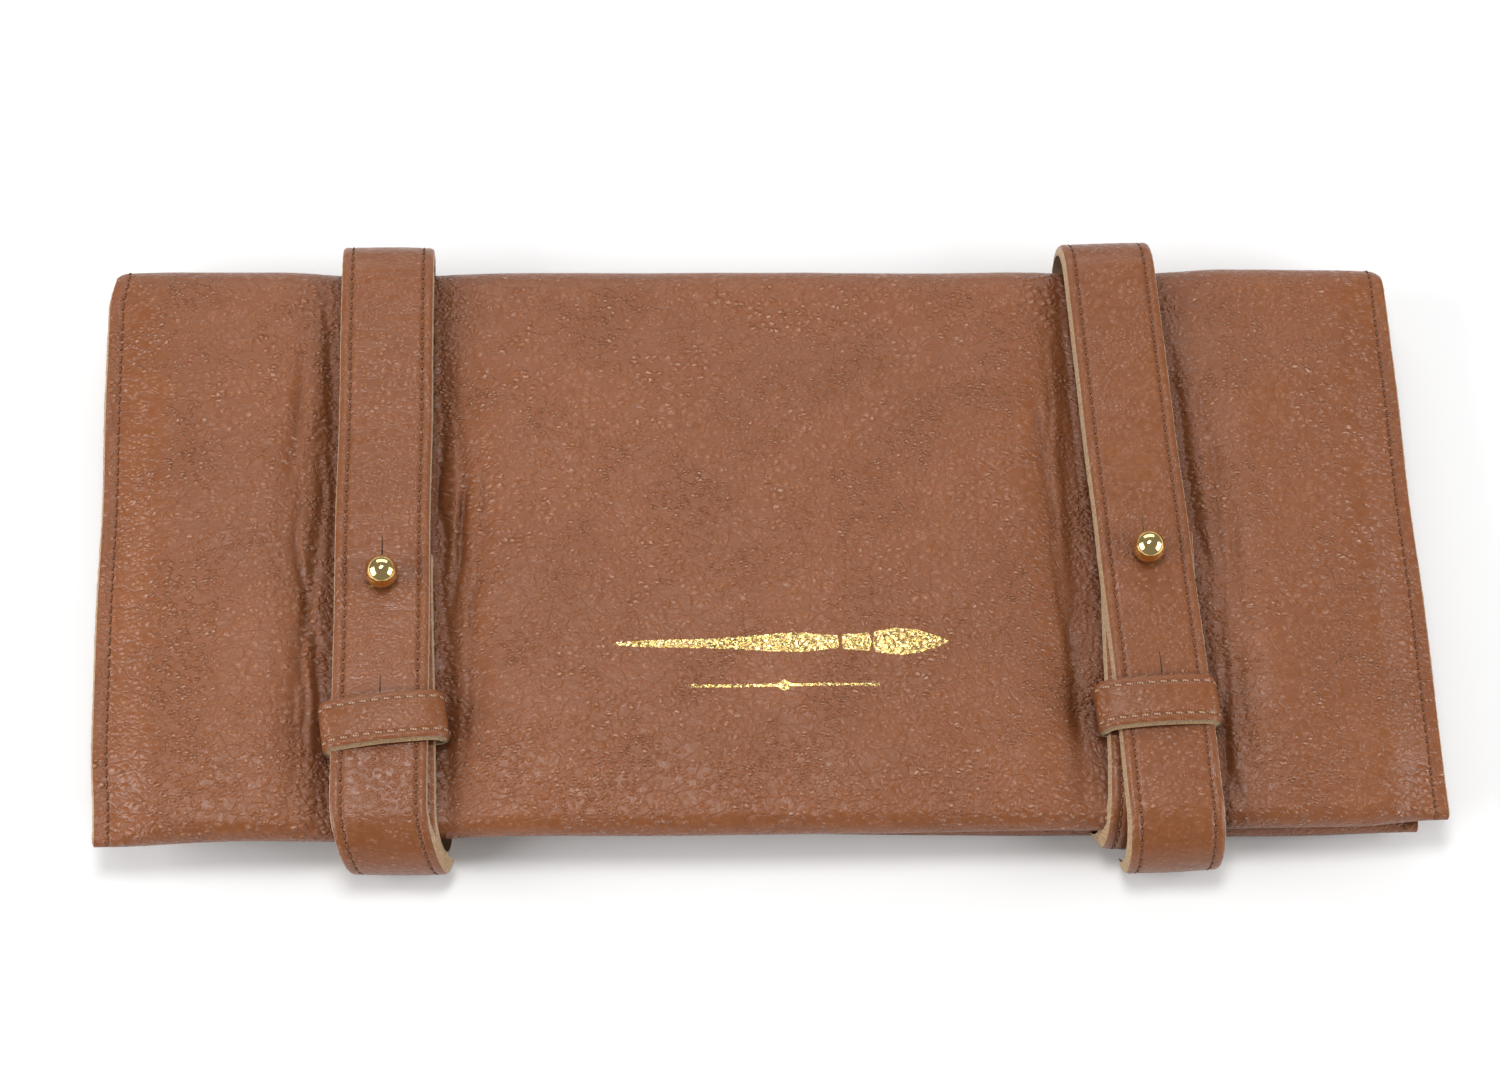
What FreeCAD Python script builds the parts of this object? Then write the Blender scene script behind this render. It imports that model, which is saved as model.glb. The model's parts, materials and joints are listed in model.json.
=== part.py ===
import FreeCAD, Part
import os
import re
import Sketcher
from FreeCAD import Vector

# A leather brush roll case, closed and lying on its back, in millimetres.
# X runs along the case, +Y towards the spine, and +Z up, with Z = 0 under the two straps.
# The case is two hollow leaves on a spine. Each leaf is one skin turned back at the fold to make a pocket.
# Two straps go round the case. Each has a stud end, which comes round the folds and lies on the front leaf,
# and a tail, which comes round the spine, buttons onto the stud and passes through a keeper.

DIMENSIONS = [
    ("leaf_length", 365.0, "front leaf and spine, from side to side"),
    ("back_leaf_length", 360.5, "back leaf, from side to side"),
    ("back_leaf_place", -2.25, "middle of the back leaf along X"),
    ("skin", 1.6, "thickness of the case leather"),
    ("back_leaf_base", 2.4, "underside of the back leaf"),
    ("back_leaf_height", 9.2, "height of the back leaf"),
    ("front_leaf_base", 12.2, "underside of the front leaf"),
    ("front_leaf_height", 9.4, "height of the front leaf"),
    ("front_fold_line", -80.5, "centre of the front leaf's fold along Y"),
    ("back_fold_line", -79.1, "centre of the back leaf's fold along Y"),
    ("spine_line", 76.95, "centre of the spine along Y"),
    ("front_pocket_mouth", 55.0, "edge of the front leaf's pocket along Y"),
    ("back_pocket_mouth", -40.0, "edge of the back leaf's pocket along Y"),
    ("hem", 3.5, "width sewn shut at each side of a pocket"),
    ("seam_inset", 3.8, "side seam, in from the leaf's edge"),
    ("seam_length", 152.0, "stretch of side seam on the flat of a leaf"),
    ("thread_width", 0.8, "width of a line of stitches"),
    ("thread_rise", 0.25, "height of a line of stitches above the leather"),
    ("loop_radius", 5.4, "inside radius of a brush loop"),
    ("loop_skin", 1.0, "thickness of the loop leather"),
    ("loop_pitch", 15.0, "from one brush loop to the next"),
    ("first_loop_line", -15.0, "centre of the brush loop nearest the folds"),
    ("loop_count", 5.0, "brush loops on each band"),
    ("band_width", 30.0, "width of a band of brush loops along X"),
    ("band_place", 95.0, "centre of each band, out from the middle"),
    ("strap_width", 25.4, "width of a strap"),
    ("strap_skin", 2.2, "thickness of a strap"),
    ("stud_end_base", 23.0, "underside of the stud end on the front leaf"),
    ("tail_base", 25.5, "underside of the tail on the front leaf"),
    ("bottom_bend_line", -78.9, "centre of both stud ends' bends round the folds"),
    ("run_gap", 0.6, "room between a strap's run and each of its bends"),
    ("curl", 45.0, "degrees that the tail turns past level at its end"),
    ("strap_seam_inset", 2.7, "strap seam, in from the strap's edge"),
    ("left_tail_place", -106.6, "middle of the left tail along X, at Y = 0"),
    ("left_tail_tilt", -0.8, "degrees that the left tail turns about Z"),
    ("left_top_bend_line", 80.1, "centre of the left tail's bend round the spine"),
    ("left_low_bend_line", -78.9, "centre of the left tail's bend round the folds"),
    ("left_end_tilt", 0.5, "degrees that the left stud end turns about Z"),
    ("left_stud_line", -13.9, "left stud along the tail"),
    ("left_keeper_place", -106.2, "middle of the left keeper along X"),
    ("left_keeper_line", -55.7, "middle of the left keeper along Y"),
    ("left_keeper_tilt", 6.9, "degrees that the left keeper turns about Z"),
    ("right_tail_place", 103.8, "middle of the right tail along X, at Y = 0"),
    ("right_tail_tilt", 1.8, "degrees that the right tail turns about Z"),
    ("right_top_bend_line", 81.2, "centre of the right tail's bend round the spine"),
    ("right_low_bend_line", -80.2, "centre of the right tail's bend round the folds"),
    ("right_end_tilt", -2.4, "degrees that the right stud end turns about Z"),
    ("right_stud_line", -8.2, "right stud along the tail"),
    ("right_keeper_place", 103.6, "middle of the right keeper along X"),
    ("right_keeper_line", -53.0, "middle of the right keeper along Y"),
    ("right_keeper_tilt", 4.0, "degrees that the right keeper turns about Z"),
    ("stud_margin", 8.0, "stud end's leather past the stud"),
    ("ball_radius", 4.5, "ball of a stud"),
    ("ball_centre", 32.0, "height of the ball's centre"),
    ("neck_radius", 1.7, "neck of a stud"),
    ("flange_radius", 3.75, "foot of a stud"),
    ("flange_sink", 0.5, "depth of the stud's foot in the leather"),
    ("flange_rise", 0.2, "height of the stud's foot above the leather"),
    ("screw_radius", 1.3, "thread of a stud's screw"),
    ("screw_reach", 5.8, "length of a stud's screw"),
    ("head_radius", 4.0, "head of a screw or rivet"),
    ("head_height", 0.8, "height of a screw or rivet head"),
    ("buttonhole_radius", 2.1, "round end of a buttonhole"),
    ("slit_width", 1.0, "slit of a buttonhole"),
    ("slit_reach", 12.8, "far end of the slit, from the buttonhole's centre"),
    ("buttonhole_pitch", 41.0, "from one buttonhole to the next"),
    ("keeper_width", 13.4, "width of a keeper along its strap"),
    ("keeper_seam_inset", 2.0, "keeper seam, in from the keeper's edge"),
    ("keeper_room", 30.8, "inside width of a keeper"),
    ("keeper_skin", 1.6, "thickness of a keeper's top and sides"),
    ("keeper_back", 1.0, "thickness of a keeper's pared back"),
    ("keeper_base", 21.8, "underside of a keeper"),
    ("keeper_ceiling", 28.1, "inside of a keeper's top"),
    ("keeper_round", 2.4, "outside corner radius of a keeper"),
    ("rivet_radius", 1.5, "shank of a strap rivet"),
    ("burr_radius", 3.5, "washer of a strap rivet"),
    ("burr_height", 0.9, "height of a strap rivet's washer"),
    ("low_rivet_line", -32.0, "strap rivet nearest the folds"),
    ("high_rivet_line", 63.0, "strap rivet nearest the spine"),
]
NAMES = {alias for alias, number, note in DIMENSIONS}
SIDES = ("left", "right")
COUNTERCLOCKWISE = 1
CLOCKWISE = -1
LEVEL_WITHIN = 1e-6

doc = FreeCAD.newDocument("brush_roll_case")
sheet = doc.addObject("Spreadsheet::Sheet", "dimensions")
for row, (alias, number, note) in enumerate(DIMENSIONS, start=1):
    sheet.set(f"A{row}", alias)
    sheet.set(f"B{row}", str(number))
    sheet.setAlias(f"B{row}", alias)
    sheet.set(f"C{row}", note)
doc.recompute()


def on_sheet(expression):
    """The same expression, with each dimension's name pointing at the spreadsheet."""
    return re.sub(r"[a-z_]+", lambda found: cell(found[0]), expression)


def cell(word):
    """A dimension's name in the spreadsheet, or any other word as it is."""
    return "dimensions." + word if word in NAMES else word


def number_of(expression):
    """What an expression comes to now."""
    return float(sheet.evalExpression(expression))


def origin_plane(body, role):
    """One of a body's own origin planes."""
    return next(plane for plane in body.Origin.OriginFeatures if plane.Role == role)


def add_body(label):
    """A named body, which may hold several solids of one kind."""
    body = doc.addObject("PartDesign::Body", label + "_body")
    body.Label = label
    body.AllowCompound = True
    return body


def add_sketch(body, name, role, offset="0"):
    """A sketch on one of the body's planes, moved along the plane's normal."""
    sketch = body.newObject("Sketcher::SketchObject", f"{body.Label}_{name}")
    sketch.AttachmentSupport = [(origin_plane(body, role), "")]
    sketch.MapMode = "FlatFace"
    sketch.setExpression("AttachmentOffset.Base.z", on_sheet(offset))
    return sketch


def bind_point(sketch, element, point, name, across=None, up=None):
    """Hold a point of a sketch at a place that comes from the dimensions."""
    for kind, axis, expression in (("DistanceX", "across", across), ("DistanceY", "up", up)):
        if expression is not None:
            place = number_of(expression)
            index = sketch.addConstraint(Sketcher.Constraint(kind, -1, 1, element, point, place))
            sketch.renameConstraint(index, f"{name}_{axis}")
            sketch.setExpression(f"Constraints.{name}_{axis}", on_sheet(expression))


def arc_between(start, end, centre, turn):
    """An arc about centre, and which of its ends (1 or 2) lies at start."""
    first, last = (start, end) if turn == COUNTERCLOCKWISE else (end, start)
    circle = Part.Circle(centre, Vector(0, 0, 1), (start - centre).Length)
    arc = Part.ArcOfCircle(circle, circle.parameter(first), circle.parameter(last))
    return arc, 1 if turn == COUNTERCLOCKWISE else 2


def draw_outline(sketch, steps, name="corner"):
    """Draw a closed outline of lines and arcs, with every corner bound to the dimensions.

    A step is (across, up) for a straight side that ends there, or (across, up, centre across, centre up,
    turn) for an arc that ends there. The outline starts and ends at the last step's corner.
    """
    corners = [Vector(number_of(step[0]), number_of(step[1]), 0) for step in steps]
    ends = []
    for index, step in enumerate(steps):
        start, end = corners[index - 1], corners[index]
        label = f"{name}_{index}"
        if len(step) == 2:
            element = sketch.addGeometry(Part.LineSegment(start, end))
            start_point = 1
        else:
            centre = Vector(number_of(step[2]), number_of(step[3]), 0)
            arc, start_point = arc_between(start, end, centre, step[4])
            element = sketch.addGeometry(arc)
            if abs(start.y - end.y) < LEVEL_WITHIN:
                bind_point(sketch, element, 3, label + "_centre", up=step[3])
            else:
                bind_point(sketch, element, 3, label + "_centre", across=step[2])
        bind_point(sketch, element, 3 - start_point, label, step[0], step[1])
        ends.append((element, start_point))
    for index, (element, start_point) in enumerate(ends):
        before, before_start = ends[index - 1]
        sketch.addConstraint(Sketcher.Constraint("Coincident", before, 3 - before_start, element, start_point))


def add_pad(body, sketch, length, both_ways=True):
    """Pad a sketch by a length, equally to both sides of its plane or one way only."""
    pad = body.newObject("PartDesign::Pad", sketch.Name + "_pad")
    pad.Profile = sketch
    pad.SideType = "Symmetric" if both_ways else "One side"
    pad.setExpression("Length", on_sheet(length))
    return pad


def add_pocket(body, sketch):
    """Cut a sketch right through the body, and make sure that it cuts something."""
    doc.recompute()
    before = body.Shape.Volume
    pocket = body.newObject("PartDesign::Pocket", sketch.Name + "_pocket")
    pocket.Profile = sketch
    pocket.Type = "ThroughAll"
    pocket.Midplane = True
    doc.recompute()
    if body.Shape.Volume >= before:
        raise RuntimeError(sketch.Name + " cuts nothing")
    return pocket


def add_turning(body, sketch):
    """Turn a sketch once round its own upright axis."""
    turning = body.newObject("PartDesign::Revolution", sketch.Name + "_turning")
    turning.Profile = sketch
    turning.ReferenceAxis = (sketch, ["V_Axis"])
    turning.Angle = 360
    return turning


def rectangle(low_across, low_up, high_across, high_up):
    """The four corners of an upright rectangle, as outline steps."""
    return [(high_across, low_up), (high_across, high_up), (low_across, high_up), (low_across, low_up)]


def cut_shape(label, base, tools):
    """The base body with the tools' shapes taken out of it."""
    cut = doc.addObject("Part::Cut", label + "_cut")
    cut.Base = base
    cut.Tool = tools[0]
    if len(tools) > 1:
        cut.Tool = doc.addObject("Part::MultiFuse", label + "_tools")
        cut.Tool.Shapes = tools
    base.Label = label + "_blank"
    cut.Label = label
    return cut


def add_leaf(label, base, height, length, fold_line, mouth, panel_on_top):
    """A hollow leaf: a panel, the fold, and a flap turned back to make a pocket, sewn shut at the sides."""
    outer = f"{height}/2"
    middle = f"{base} + {outer}"
    panel_face, flap_face = (f"{base} + {height}", base) if panel_on_top else (base, f"{base} + {height}")
    inward = "-" if panel_on_top else "+"
    outward = "+" if panel_on_top else "-"
    turn = COUNTERCLOCKWISE if panel_on_top else CLOCKWISE
    body = add_body(label)
    skin = add_sketch(body, "skin", "YZ_Plane")
    draw_outline(skin, [
        (fold_line, panel_face),
        (fold_line, flap_face, fold_line, middle, turn),
        (mouth, flap_face),
        (mouth, f"{flap_face} {outward} skin"),
        (fold_line, f"{flap_face} {outward} skin"),
        (fold_line, f"{panel_face} {inward} skin", fold_line, middle, -turn),
        ("spine_line", f"{panel_face} {inward} skin"),
        ("spine_line", panel_face),
    ])
    add_pad(body, skin, length)
    for side, offset in (("left", f"-{length}/2"), ("right", f"{length}/2 - hem")):
        filling = add_sketch(body, side + "_hem", "YZ_Plane", offset)
        draw_outline(filling, [
            (fold_line, f"{panel_face} {inward} skin/2"),
            (fold_line, f"{flap_face} {outward} skin/2", fold_line, middle, turn),
            (mouth, f"{flap_face} {outward} skin/2"),
            (mouth, f"{panel_face} {inward} skin/2"),
        ])
        add_pad(body, filling, "hem", both_ways=False)
    return body


def add_spine():
    """Half a tube of leather that joins the two leaves."""
    top = "front_leaf_base + front_leaf_height"
    middle = f"({top} + back_leaf_base)/2"
    body = add_body("spine_fold")
    sketch = add_sketch(body, "ring", "YZ_Plane")
    draw_outline(sketch, [
        ("spine_line", top, "spine_line", middle, COUNTERCLOCKWISE),
        ("spine_line", f"{top} - skin"),
        ("spine_line", "back_leaf_base + skin", "spine_line", middle, CLOCKWISE),
        ("spine_line", "back_leaf_base"),
    ])
    add_pad(body, sketch, "leaf_length")
    return body


def add_seam(label, place, low, high):
    """One side seam on the flat of a leaf, as a plain line of thread."""
    body = add_body(label)
    sketch = add_sketch(body, "thread", "XZ_Plane")
    draw_outline(sketch, rectangle(f"{place} - thread_width/2", low, f"{place} + thread_width/2", high))
    add_pad(body, sketch, "seam_length")
    return body


def add_brush_loops(side, place):
    """A band across the back leaf's inside, standing up in loops that each hold a brush handle."""
    floor = "back_leaf_base + skin"
    web = f"{floor} + loop_skin"
    outer_reach = "sqrt((loop_radius + loop_skin)^2 - loop_skin^2)"
    loops = range(int(number_of("loop_count")))
    centres = [f"first_loop_line + loop_pitch*{index}" for index in loops]
    steps = []
    for centre in centres:
        steps.append((f"{centre} - {outer_reach}", web))
        steps.append((f"{centre} + {outer_reach}", web, centre, floor, CLOCKWISE))
    steps.append((f"{centres[-1]} + loop_pitch/2", web))
    steps.append((f"{centres[-1]} + loop_pitch/2", floor))
    for centre in reversed(centres):
        steps.append((f"{centre} + loop_radius", floor))
        steps.append((f"{centre} - loop_radius", floor, centre, floor, COUNTERCLOCKWISE))
    steps.append(("first_loop_line - loop_pitch/2", floor))
    steps.append(("first_loop_line - loop_pitch/2", web))
    body = add_body(f"{side}_brush_loops")
    sketch = add_sketch(body, "band", "YZ_Plane", place)
    draw_outline(sketch, steps)
    add_pad(body, sketch, "band_width")
    return body


def put_at(thing, across, along, tilt):
    """Place a piece that is drawn about its own middle, turned about Z."""
    thing.setExpression("Placement.Base.x", on_sheet(across))
    thing.setExpression("Placement.Base.y", on_sheet(along))
    thing.setExpression("Placement.Rotation.Angle", on_sheet(tilt))


def tail_middle(side, line):
    """Where the middle of a tail is along X, at a line along Y."""
    return f"({side}_tail_place - tan({side}_tail_tilt)*({line}))"


def stud_place(side):
    """Where a stud is along X and along Y: on the tail's middle line."""
    across = f"({side}_tail_place - sin({side}_tail_tilt)*{side}_stud_line)"
    return across, f"(cos({side}_tail_tilt)*{side}_stud_line)"


def put_on_tail(thing, side):
    """Place a piece on a tail."""
    put_at(thing, f"{side}_tail_place", "0 mm", f"{side}_tail_tilt")


def end_middle(side, line):
    """Where the middle of a stud end is along X, at a line along Y: it runs through the stud."""
    across, along = stud_place(side)
    return f"({across} - tan({side}_end_tilt)*({line} - {along}))"


def put_on_stud_end(thing, side):
    """Place a piece on a stud end."""
    put_at(thing, end_middle(side, "0"), "0 mm", f"{side}_end_tilt")


def put_on_run(thing, side):
    """Place a piece on the strap's run under the case, from the stud end's bend to the tail's."""
    low, high = end_middle(side, "bottom_bend_line"), tail_middle(side, f"{side}_top_bend_line")
    slope = f"({low} - {high})/({side}_top_bend_line - bottom_bend_line)"
    put_at(thing, f"{low} + {slope}*bottom_bend_line", "0 mm", f"atan({slope})")


def add_strap_run(side, rivets):
    """The strap's stretch under the back leaf."""
    body = add_body(f"{side}_strap_run")
    sketch = add_sketch(body, "length", "YZ_Plane")
    low, high = "bottom_bend_line + run_gap", f"{side}_top_bend_line - run_gap"
    draw_outline(sketch, rectangle(low, "0 mm", high, "strap_skin"))
    add_pad(body, sketch, "strap_width")
    put_on_run(body, side)
    return cut_shape(body.Label, body, [rivets])


def add_tail(side):
    """The strap's tail: round the spine, along the front with its buttonholes, and down past the folds."""
    top = "tail_base + strap_skin"
    top_middle = f"({top})/2"
    bottom_middle = "(stud_end_base + strap_skin)/2"
    inner = f"(tail_base - {bottom_middle})"
    outer = f"({inner} + strap_skin)"
    spine_bend, fold_bend = f"{side}_top_bend_line", f"{side}_low_bend_line"
    end_across = fold_bend + " - {0}*cos(curl)"
    end_up = bottom_middle + " - {0}*sin(curl)"
    body = add_body(f"{side}_strap_tail")
    sketch = add_sketch(body, "length", "YZ_Plane")
    draw_outline(sketch, [
        (spine_bend, top, spine_bend, top_middle, COUNTERCLOCKWISE),
        (fold_bend, top),
        (end_across.format(outer), end_up.format(outer), fold_bend, bottom_middle, COUNTERCLOCKWISE),
        (end_across.format(inner), end_up.format(inner)),
        (fold_bend, "tail_base", fold_bend, bottom_middle, CLOCKWISE),
        (spine_bend, "tail_base"),
        (spine_bend, "strap_skin", spine_bend, top_middle, CLOCKWISE),
        (spine_bend, "0 mm"),
    ])
    add_pad(body, sketch, "strap_width")
    for index in range(2):
        add_buttonhole(body, index, f"{side}_stud_line - buttonhole_pitch*{index}")
    put_on_tail(body, side)
    return body


def add_buttonhole(body, index, line):
    """A round hole with a slit towards the spine, which the stud's ball is pushed through."""
    shoulder = f"{line} + sqrt(buttonhole_radius^2 - slit_width^2/4)"
    sketch = add_sketch(body, f"buttonhole_{index}", "XY_Plane")
    draw_outline(sketch, [
        ("-slit_width/2", f"{line} + slit_reach"),
        ("-slit_width/2", shoulder),
        ("slit_width/2", shoulder, "0 mm", line, COUNTERCLOCKWISE),
        ("slit_width/2", f"{line} + slit_reach"),
    ])
    add_pocket(body, sketch)


def add_stud_end(side, fittings):
    """The strap's stud end: round the folds from below and up the front leaf, to just past the stud."""
    top = "stud_end_base + strap_skin"
    middle = f"({top})/2"
    end = f"{stud_place(side)[1]} + stud_margin"
    body = add_body(f"{side}_stud_end")
    sketch = add_sketch(body, "length", "YZ_Plane")
    draw_outline(sketch, [
        ("bottom_bend_line", "0 mm", "bottom_bend_line", middle, COUNTERCLOCKWISE),
        ("bottom_bend_line", "strap_skin"),
        ("bottom_bend_line", "stud_end_base", "bottom_bend_line", middle, CLOCKWISE),
        (end, "stud_end_base"),
        (end, top),
        ("bottom_bend_line", top),
    ])
    add_pad(body, sketch, "strap_width")
    put_on_stud_end(body, side)
    return cut_shape(body.Label, body, fittings)


def add_stud(side):
    """A ball stud: a foot let into the leather, a neck, and a ball with a threaded bore."""
    foot = "stud_end_base + strap_skin - flange_sink"
    shoulder = "stud_end_base + strap_skin + flange_rise"
    bore_top = "stud_end_base + screw_reach"
    ball_foot = "ball_centre - sqrt(ball_radius^2 - neck_radius^2)"
    body = add_body(f"{side}_stud")
    sketch = add_sketch(body, "profile", "XZ_Plane")
    draw_outline(sketch, [
        ("flange_radius", foot),
        ("flange_radius", shoulder),
        ("neck_radius", shoulder),
        ("neck_radius", ball_foot),
        ("0 mm", "ball_centre + ball_radius", "0 mm", "ball_centre", COUNTERCLOCKWISE),
        ("0 mm", bore_top),
        ("screw_radius", bore_top),
        ("screw_radius", foot),
    ])
    add_turning(body, sketch)
    put_at(body, *stud_place(side), f"{side}_end_tilt")
    return body


def add_stud_screw(side):
    """The flat-headed screw that holds a stud from under the leather."""
    body = add_body(f"{side}_stud_screw")
    sketch = add_sketch(body, "profile", "XZ_Plane")
    draw_outline(sketch, [
        ("head_radius", "stud_end_base"),
        ("head_radius", "stud_end_base + head_height"),
        ("screw_radius", "stud_end_base + head_height"),
        ("screw_radius", "stud_end_base + screw_reach"),
        ("0 mm", "stud_end_base + screw_reach"),
        ("0 mm", "stud_end_base"),
    ])
    add_turning(body, sketch)
    put_at(body, *stud_place(side), f"{side}_end_tilt")
    return body


def add_keeper(side):
    """A closed leather loop round the stud end and the tail."""
    half = "keeper_room/2 + keeper_skin"
    corner = f"{half} - keeper_round"
    roof = "keeper_ceiling + keeper_skin"
    body = add_body(f"{side}_keeper")
    sketch = add_sketch(body, "ring", "XZ_Plane")
    draw_outline(sketch, [
        (corner, "keeper_base"),
        (half, "keeper_base + keeper_round", corner, "keeper_base + keeper_round", COUNTERCLOCKWISE),
        (half, f"{roof} - keeper_round"),
        (corner, roof, corner, f"{roof} - keeper_round", COUNTERCLOCKWISE),
        (f"-({corner})", roof),
        (f"-({half})", f"{roof} - keeper_round", f"-({corner})", f"{roof} - keeper_round", COUNTERCLOCKWISE),
        (f"-({half})", "keeper_base + keeper_round"),
        (f"-({corner})", "keeper_base", f"-({corner})", "keeper_base + keeper_round", COUNTERCLOCKWISE),
    ], "outside")
    inside = rectangle("-keeper_room/2", "keeper_base + keeper_back", "keeper_room/2", "keeper_ceiling")
    draw_outline(sketch, inside, "inside")
    add_pad(body, sketch, "keeper_width")
    put_at(body, f"{side}_keeper_place", f"{side}_keeper_line", f"{side}_keeper_tilt")
    return body


def add_strap_seams(label, base, start, end):
    """Two lines of stitches along the top of a strap layer, from one line to another."""
    low = f"{base} + strap_skin"
    high = f"{low} + thread_rise"
    body = add_body(label)
    sketch = add_sketch(body, "threads", "XZ_Plane", f"-({end} + {start})/2")
    for name, sign in (("left", "-"), ("right", "+")):
        place = f"{sign}(strap_width/2 - strap_seam_inset)"
        outline = rectangle(f"{place} - thread_width/2", low, f"{place} + thread_width/2", high)
        draw_outline(sketch, outline, name)
    add_pad(body, sketch, f"{end} - {start}")
    return body


def add_tail_seams(side):
    """The stitches along a tail."""
    start, end = f"{side}_low_bend_line", f"{side}_top_bend_line"
    body = add_strap_seams(f"{side}_tail_stitching", "tail_base", start, end)
    put_on_tail(body, side)
    return body


def add_stud_end_seams(side):
    """The stitches along a stud end."""
    end = f"({stud_place(side)[1]} + stud_margin - strap_seam_inset)"
    body = add_strap_seams(f"{side}_stud_end_stitching", "stud_end_base", "bottom_bend_line", end)
    put_on_stud_end(body, side)
    return body


def add_keeper_seams(side):
    """The two lines of stitches along a keeper's top."""
    low = "keeper_ceiling + keeper_skin"
    body = add_body(f"{side}_keeper_stitching")
    for name, sign in (("low", "-"), ("high", "+")):
        sketch = add_sketch(body, name, "XY_Plane", low)
        place = f"{sign}(keeper_width/2 - keeper_seam_inset)"
        reach = "keeper_room/2 - keeper_round"
        edges = (f"{place} - thread_width/2", f"{place} + thread_width/2")
        draw_outline(sketch, rectangle(f"-({reach})", edges[0], reach, edges[1]))
        add_pad(body, sketch, "thread_rise", both_ways=False)
    put_at(body, f"{side}_keeper_place", f"{side}_keeper_line", f"{side}_keeper_tilt")
    return body


def add_rivets(side):
    """The two rivets that hold a strap to the back leaf, each with its washer inside the case."""
    washer = "back_leaf_base + skin"
    body = add_body(f"{side}_strap_rivets")
    for name in ("low", "high"):
        sketch = add_sketch(body, name, "XZ_Plane", f"-{name}_rivet_line")
        draw_outline(sketch, [
            ("head_radius", "0 mm"),
            ("head_radius", "head_height"),
            ("rivet_radius", "head_height"),
            ("rivet_radius", washer),
            ("burr_radius", washer),
            ("burr_radius", f"{washer} + burr_height"),
            ("0 mm", f"{washer} + burr_height"),
            ("0 mm", "0 mm"),
        ])
        add_turning(body, sketch)
    put_on_run(body, side)
    return body


rivets = {side: add_rivets(side) for side in SIDES}
back_blank = add_leaf("back_panel", "back_leaf_base", "back_leaf_height", "back_leaf_length",
                      "back_fold_line", "back_pocket_mouth", panel_on_top=False)
back_blank.setExpression("Placement.Base.x", on_sheet("back_leaf_place"))
nodes = [
    add_leaf("front_panel", "front_leaf_base", "front_leaf_height", "leaf_length",
             "front_fold_line", "front_pocket_mouth", panel_on_top=True),
    cut_shape("back_panel", back_blank, list(rivets.values())),
    add_spine(),
]
for side, sign in (("left", "-"), ("right", "+")):
    front_edge = f"{sign}(leaf_length/2 - seam_inset)"
    back_edge = f"back_leaf_place {sign} (back_leaf_length/2 - seam_inset)"
    front_top = "front_leaf_base + front_leaf_height"
    stud, screw = add_stud(side), add_stud_screw(side)
    nodes += [
        add_seam(f"front_seam_{side}", front_edge, front_top, f"{front_top} + thread_rise"),
        add_seam(f"back_seam_{side}", back_edge, "back_leaf_base - thread_rise", "back_leaf_base"),
        add_brush_loops(side, f"{sign}band_place"),
        rivets[side],
        add_strap_run(side, rivets[side]),
        add_tail(side),
        add_tail_seams(side),
        stud,
        screw,
        add_stud_end(side, [stud, screw]),
        add_stud_end_seams(side),
        add_keeper(side),
        add_keeper_seams(side),
    ]
doc.recompute()

for thing in doc.Objects:
    if "Invalid" in thing.State or "Error" in thing.State:
        raise RuntimeError(f"{thing.Label} failed: {thing.State}")
for node in nodes:
    if node.Shape.isNull() or not node.Shape.isValid() or not node.Shape.Solids:
        raise RuntimeError(f"{node.Label} has no valid shape")

os.makedirs("parts", exist_ok=True)
for node in nodes:
    node.Shape.exportStep(f"parts/{node.Label}.step")
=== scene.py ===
import json
import math

import bpy
import numpy as np
from mathutils import Matrix, Vector

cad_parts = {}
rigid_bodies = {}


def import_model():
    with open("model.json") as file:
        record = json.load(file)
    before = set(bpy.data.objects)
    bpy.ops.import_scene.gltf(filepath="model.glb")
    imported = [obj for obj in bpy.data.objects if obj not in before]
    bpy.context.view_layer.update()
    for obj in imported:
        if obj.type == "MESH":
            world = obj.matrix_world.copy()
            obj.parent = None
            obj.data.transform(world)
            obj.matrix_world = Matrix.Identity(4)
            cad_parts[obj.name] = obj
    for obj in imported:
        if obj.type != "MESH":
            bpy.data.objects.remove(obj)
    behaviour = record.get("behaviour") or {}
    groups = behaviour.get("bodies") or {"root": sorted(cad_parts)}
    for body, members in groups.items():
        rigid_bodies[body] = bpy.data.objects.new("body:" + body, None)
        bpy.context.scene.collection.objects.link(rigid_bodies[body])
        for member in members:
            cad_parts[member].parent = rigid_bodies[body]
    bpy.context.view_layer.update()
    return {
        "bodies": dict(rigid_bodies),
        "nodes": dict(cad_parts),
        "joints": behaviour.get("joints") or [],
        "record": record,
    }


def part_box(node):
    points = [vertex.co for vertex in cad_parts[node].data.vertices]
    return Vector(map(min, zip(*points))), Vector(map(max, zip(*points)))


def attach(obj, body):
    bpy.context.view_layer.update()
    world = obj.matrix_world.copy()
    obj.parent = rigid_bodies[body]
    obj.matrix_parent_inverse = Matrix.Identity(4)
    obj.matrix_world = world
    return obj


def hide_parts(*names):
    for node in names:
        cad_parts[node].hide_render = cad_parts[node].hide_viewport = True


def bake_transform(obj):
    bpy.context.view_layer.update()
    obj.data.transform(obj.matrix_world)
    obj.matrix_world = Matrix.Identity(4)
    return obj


# The looks of a leather brush roll case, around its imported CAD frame.
# Sizes are in millimetres up to the moment a mesh is made. X runs along the case, +Y towards the spine, Z up.
# All the leather is built the same way: a grid over its grain side, a second grid under it on the flesh side,
# and a rim of raw edge between the two. Each grain point also keeps its place on the flat hide, which the
# materials are drawn from, so that the grain neither stretches nor slides.

MM = 0.001
SIDES = ("left", "right")

# ---------------------------------------------------------------- sizes, as the CAD has them

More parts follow.
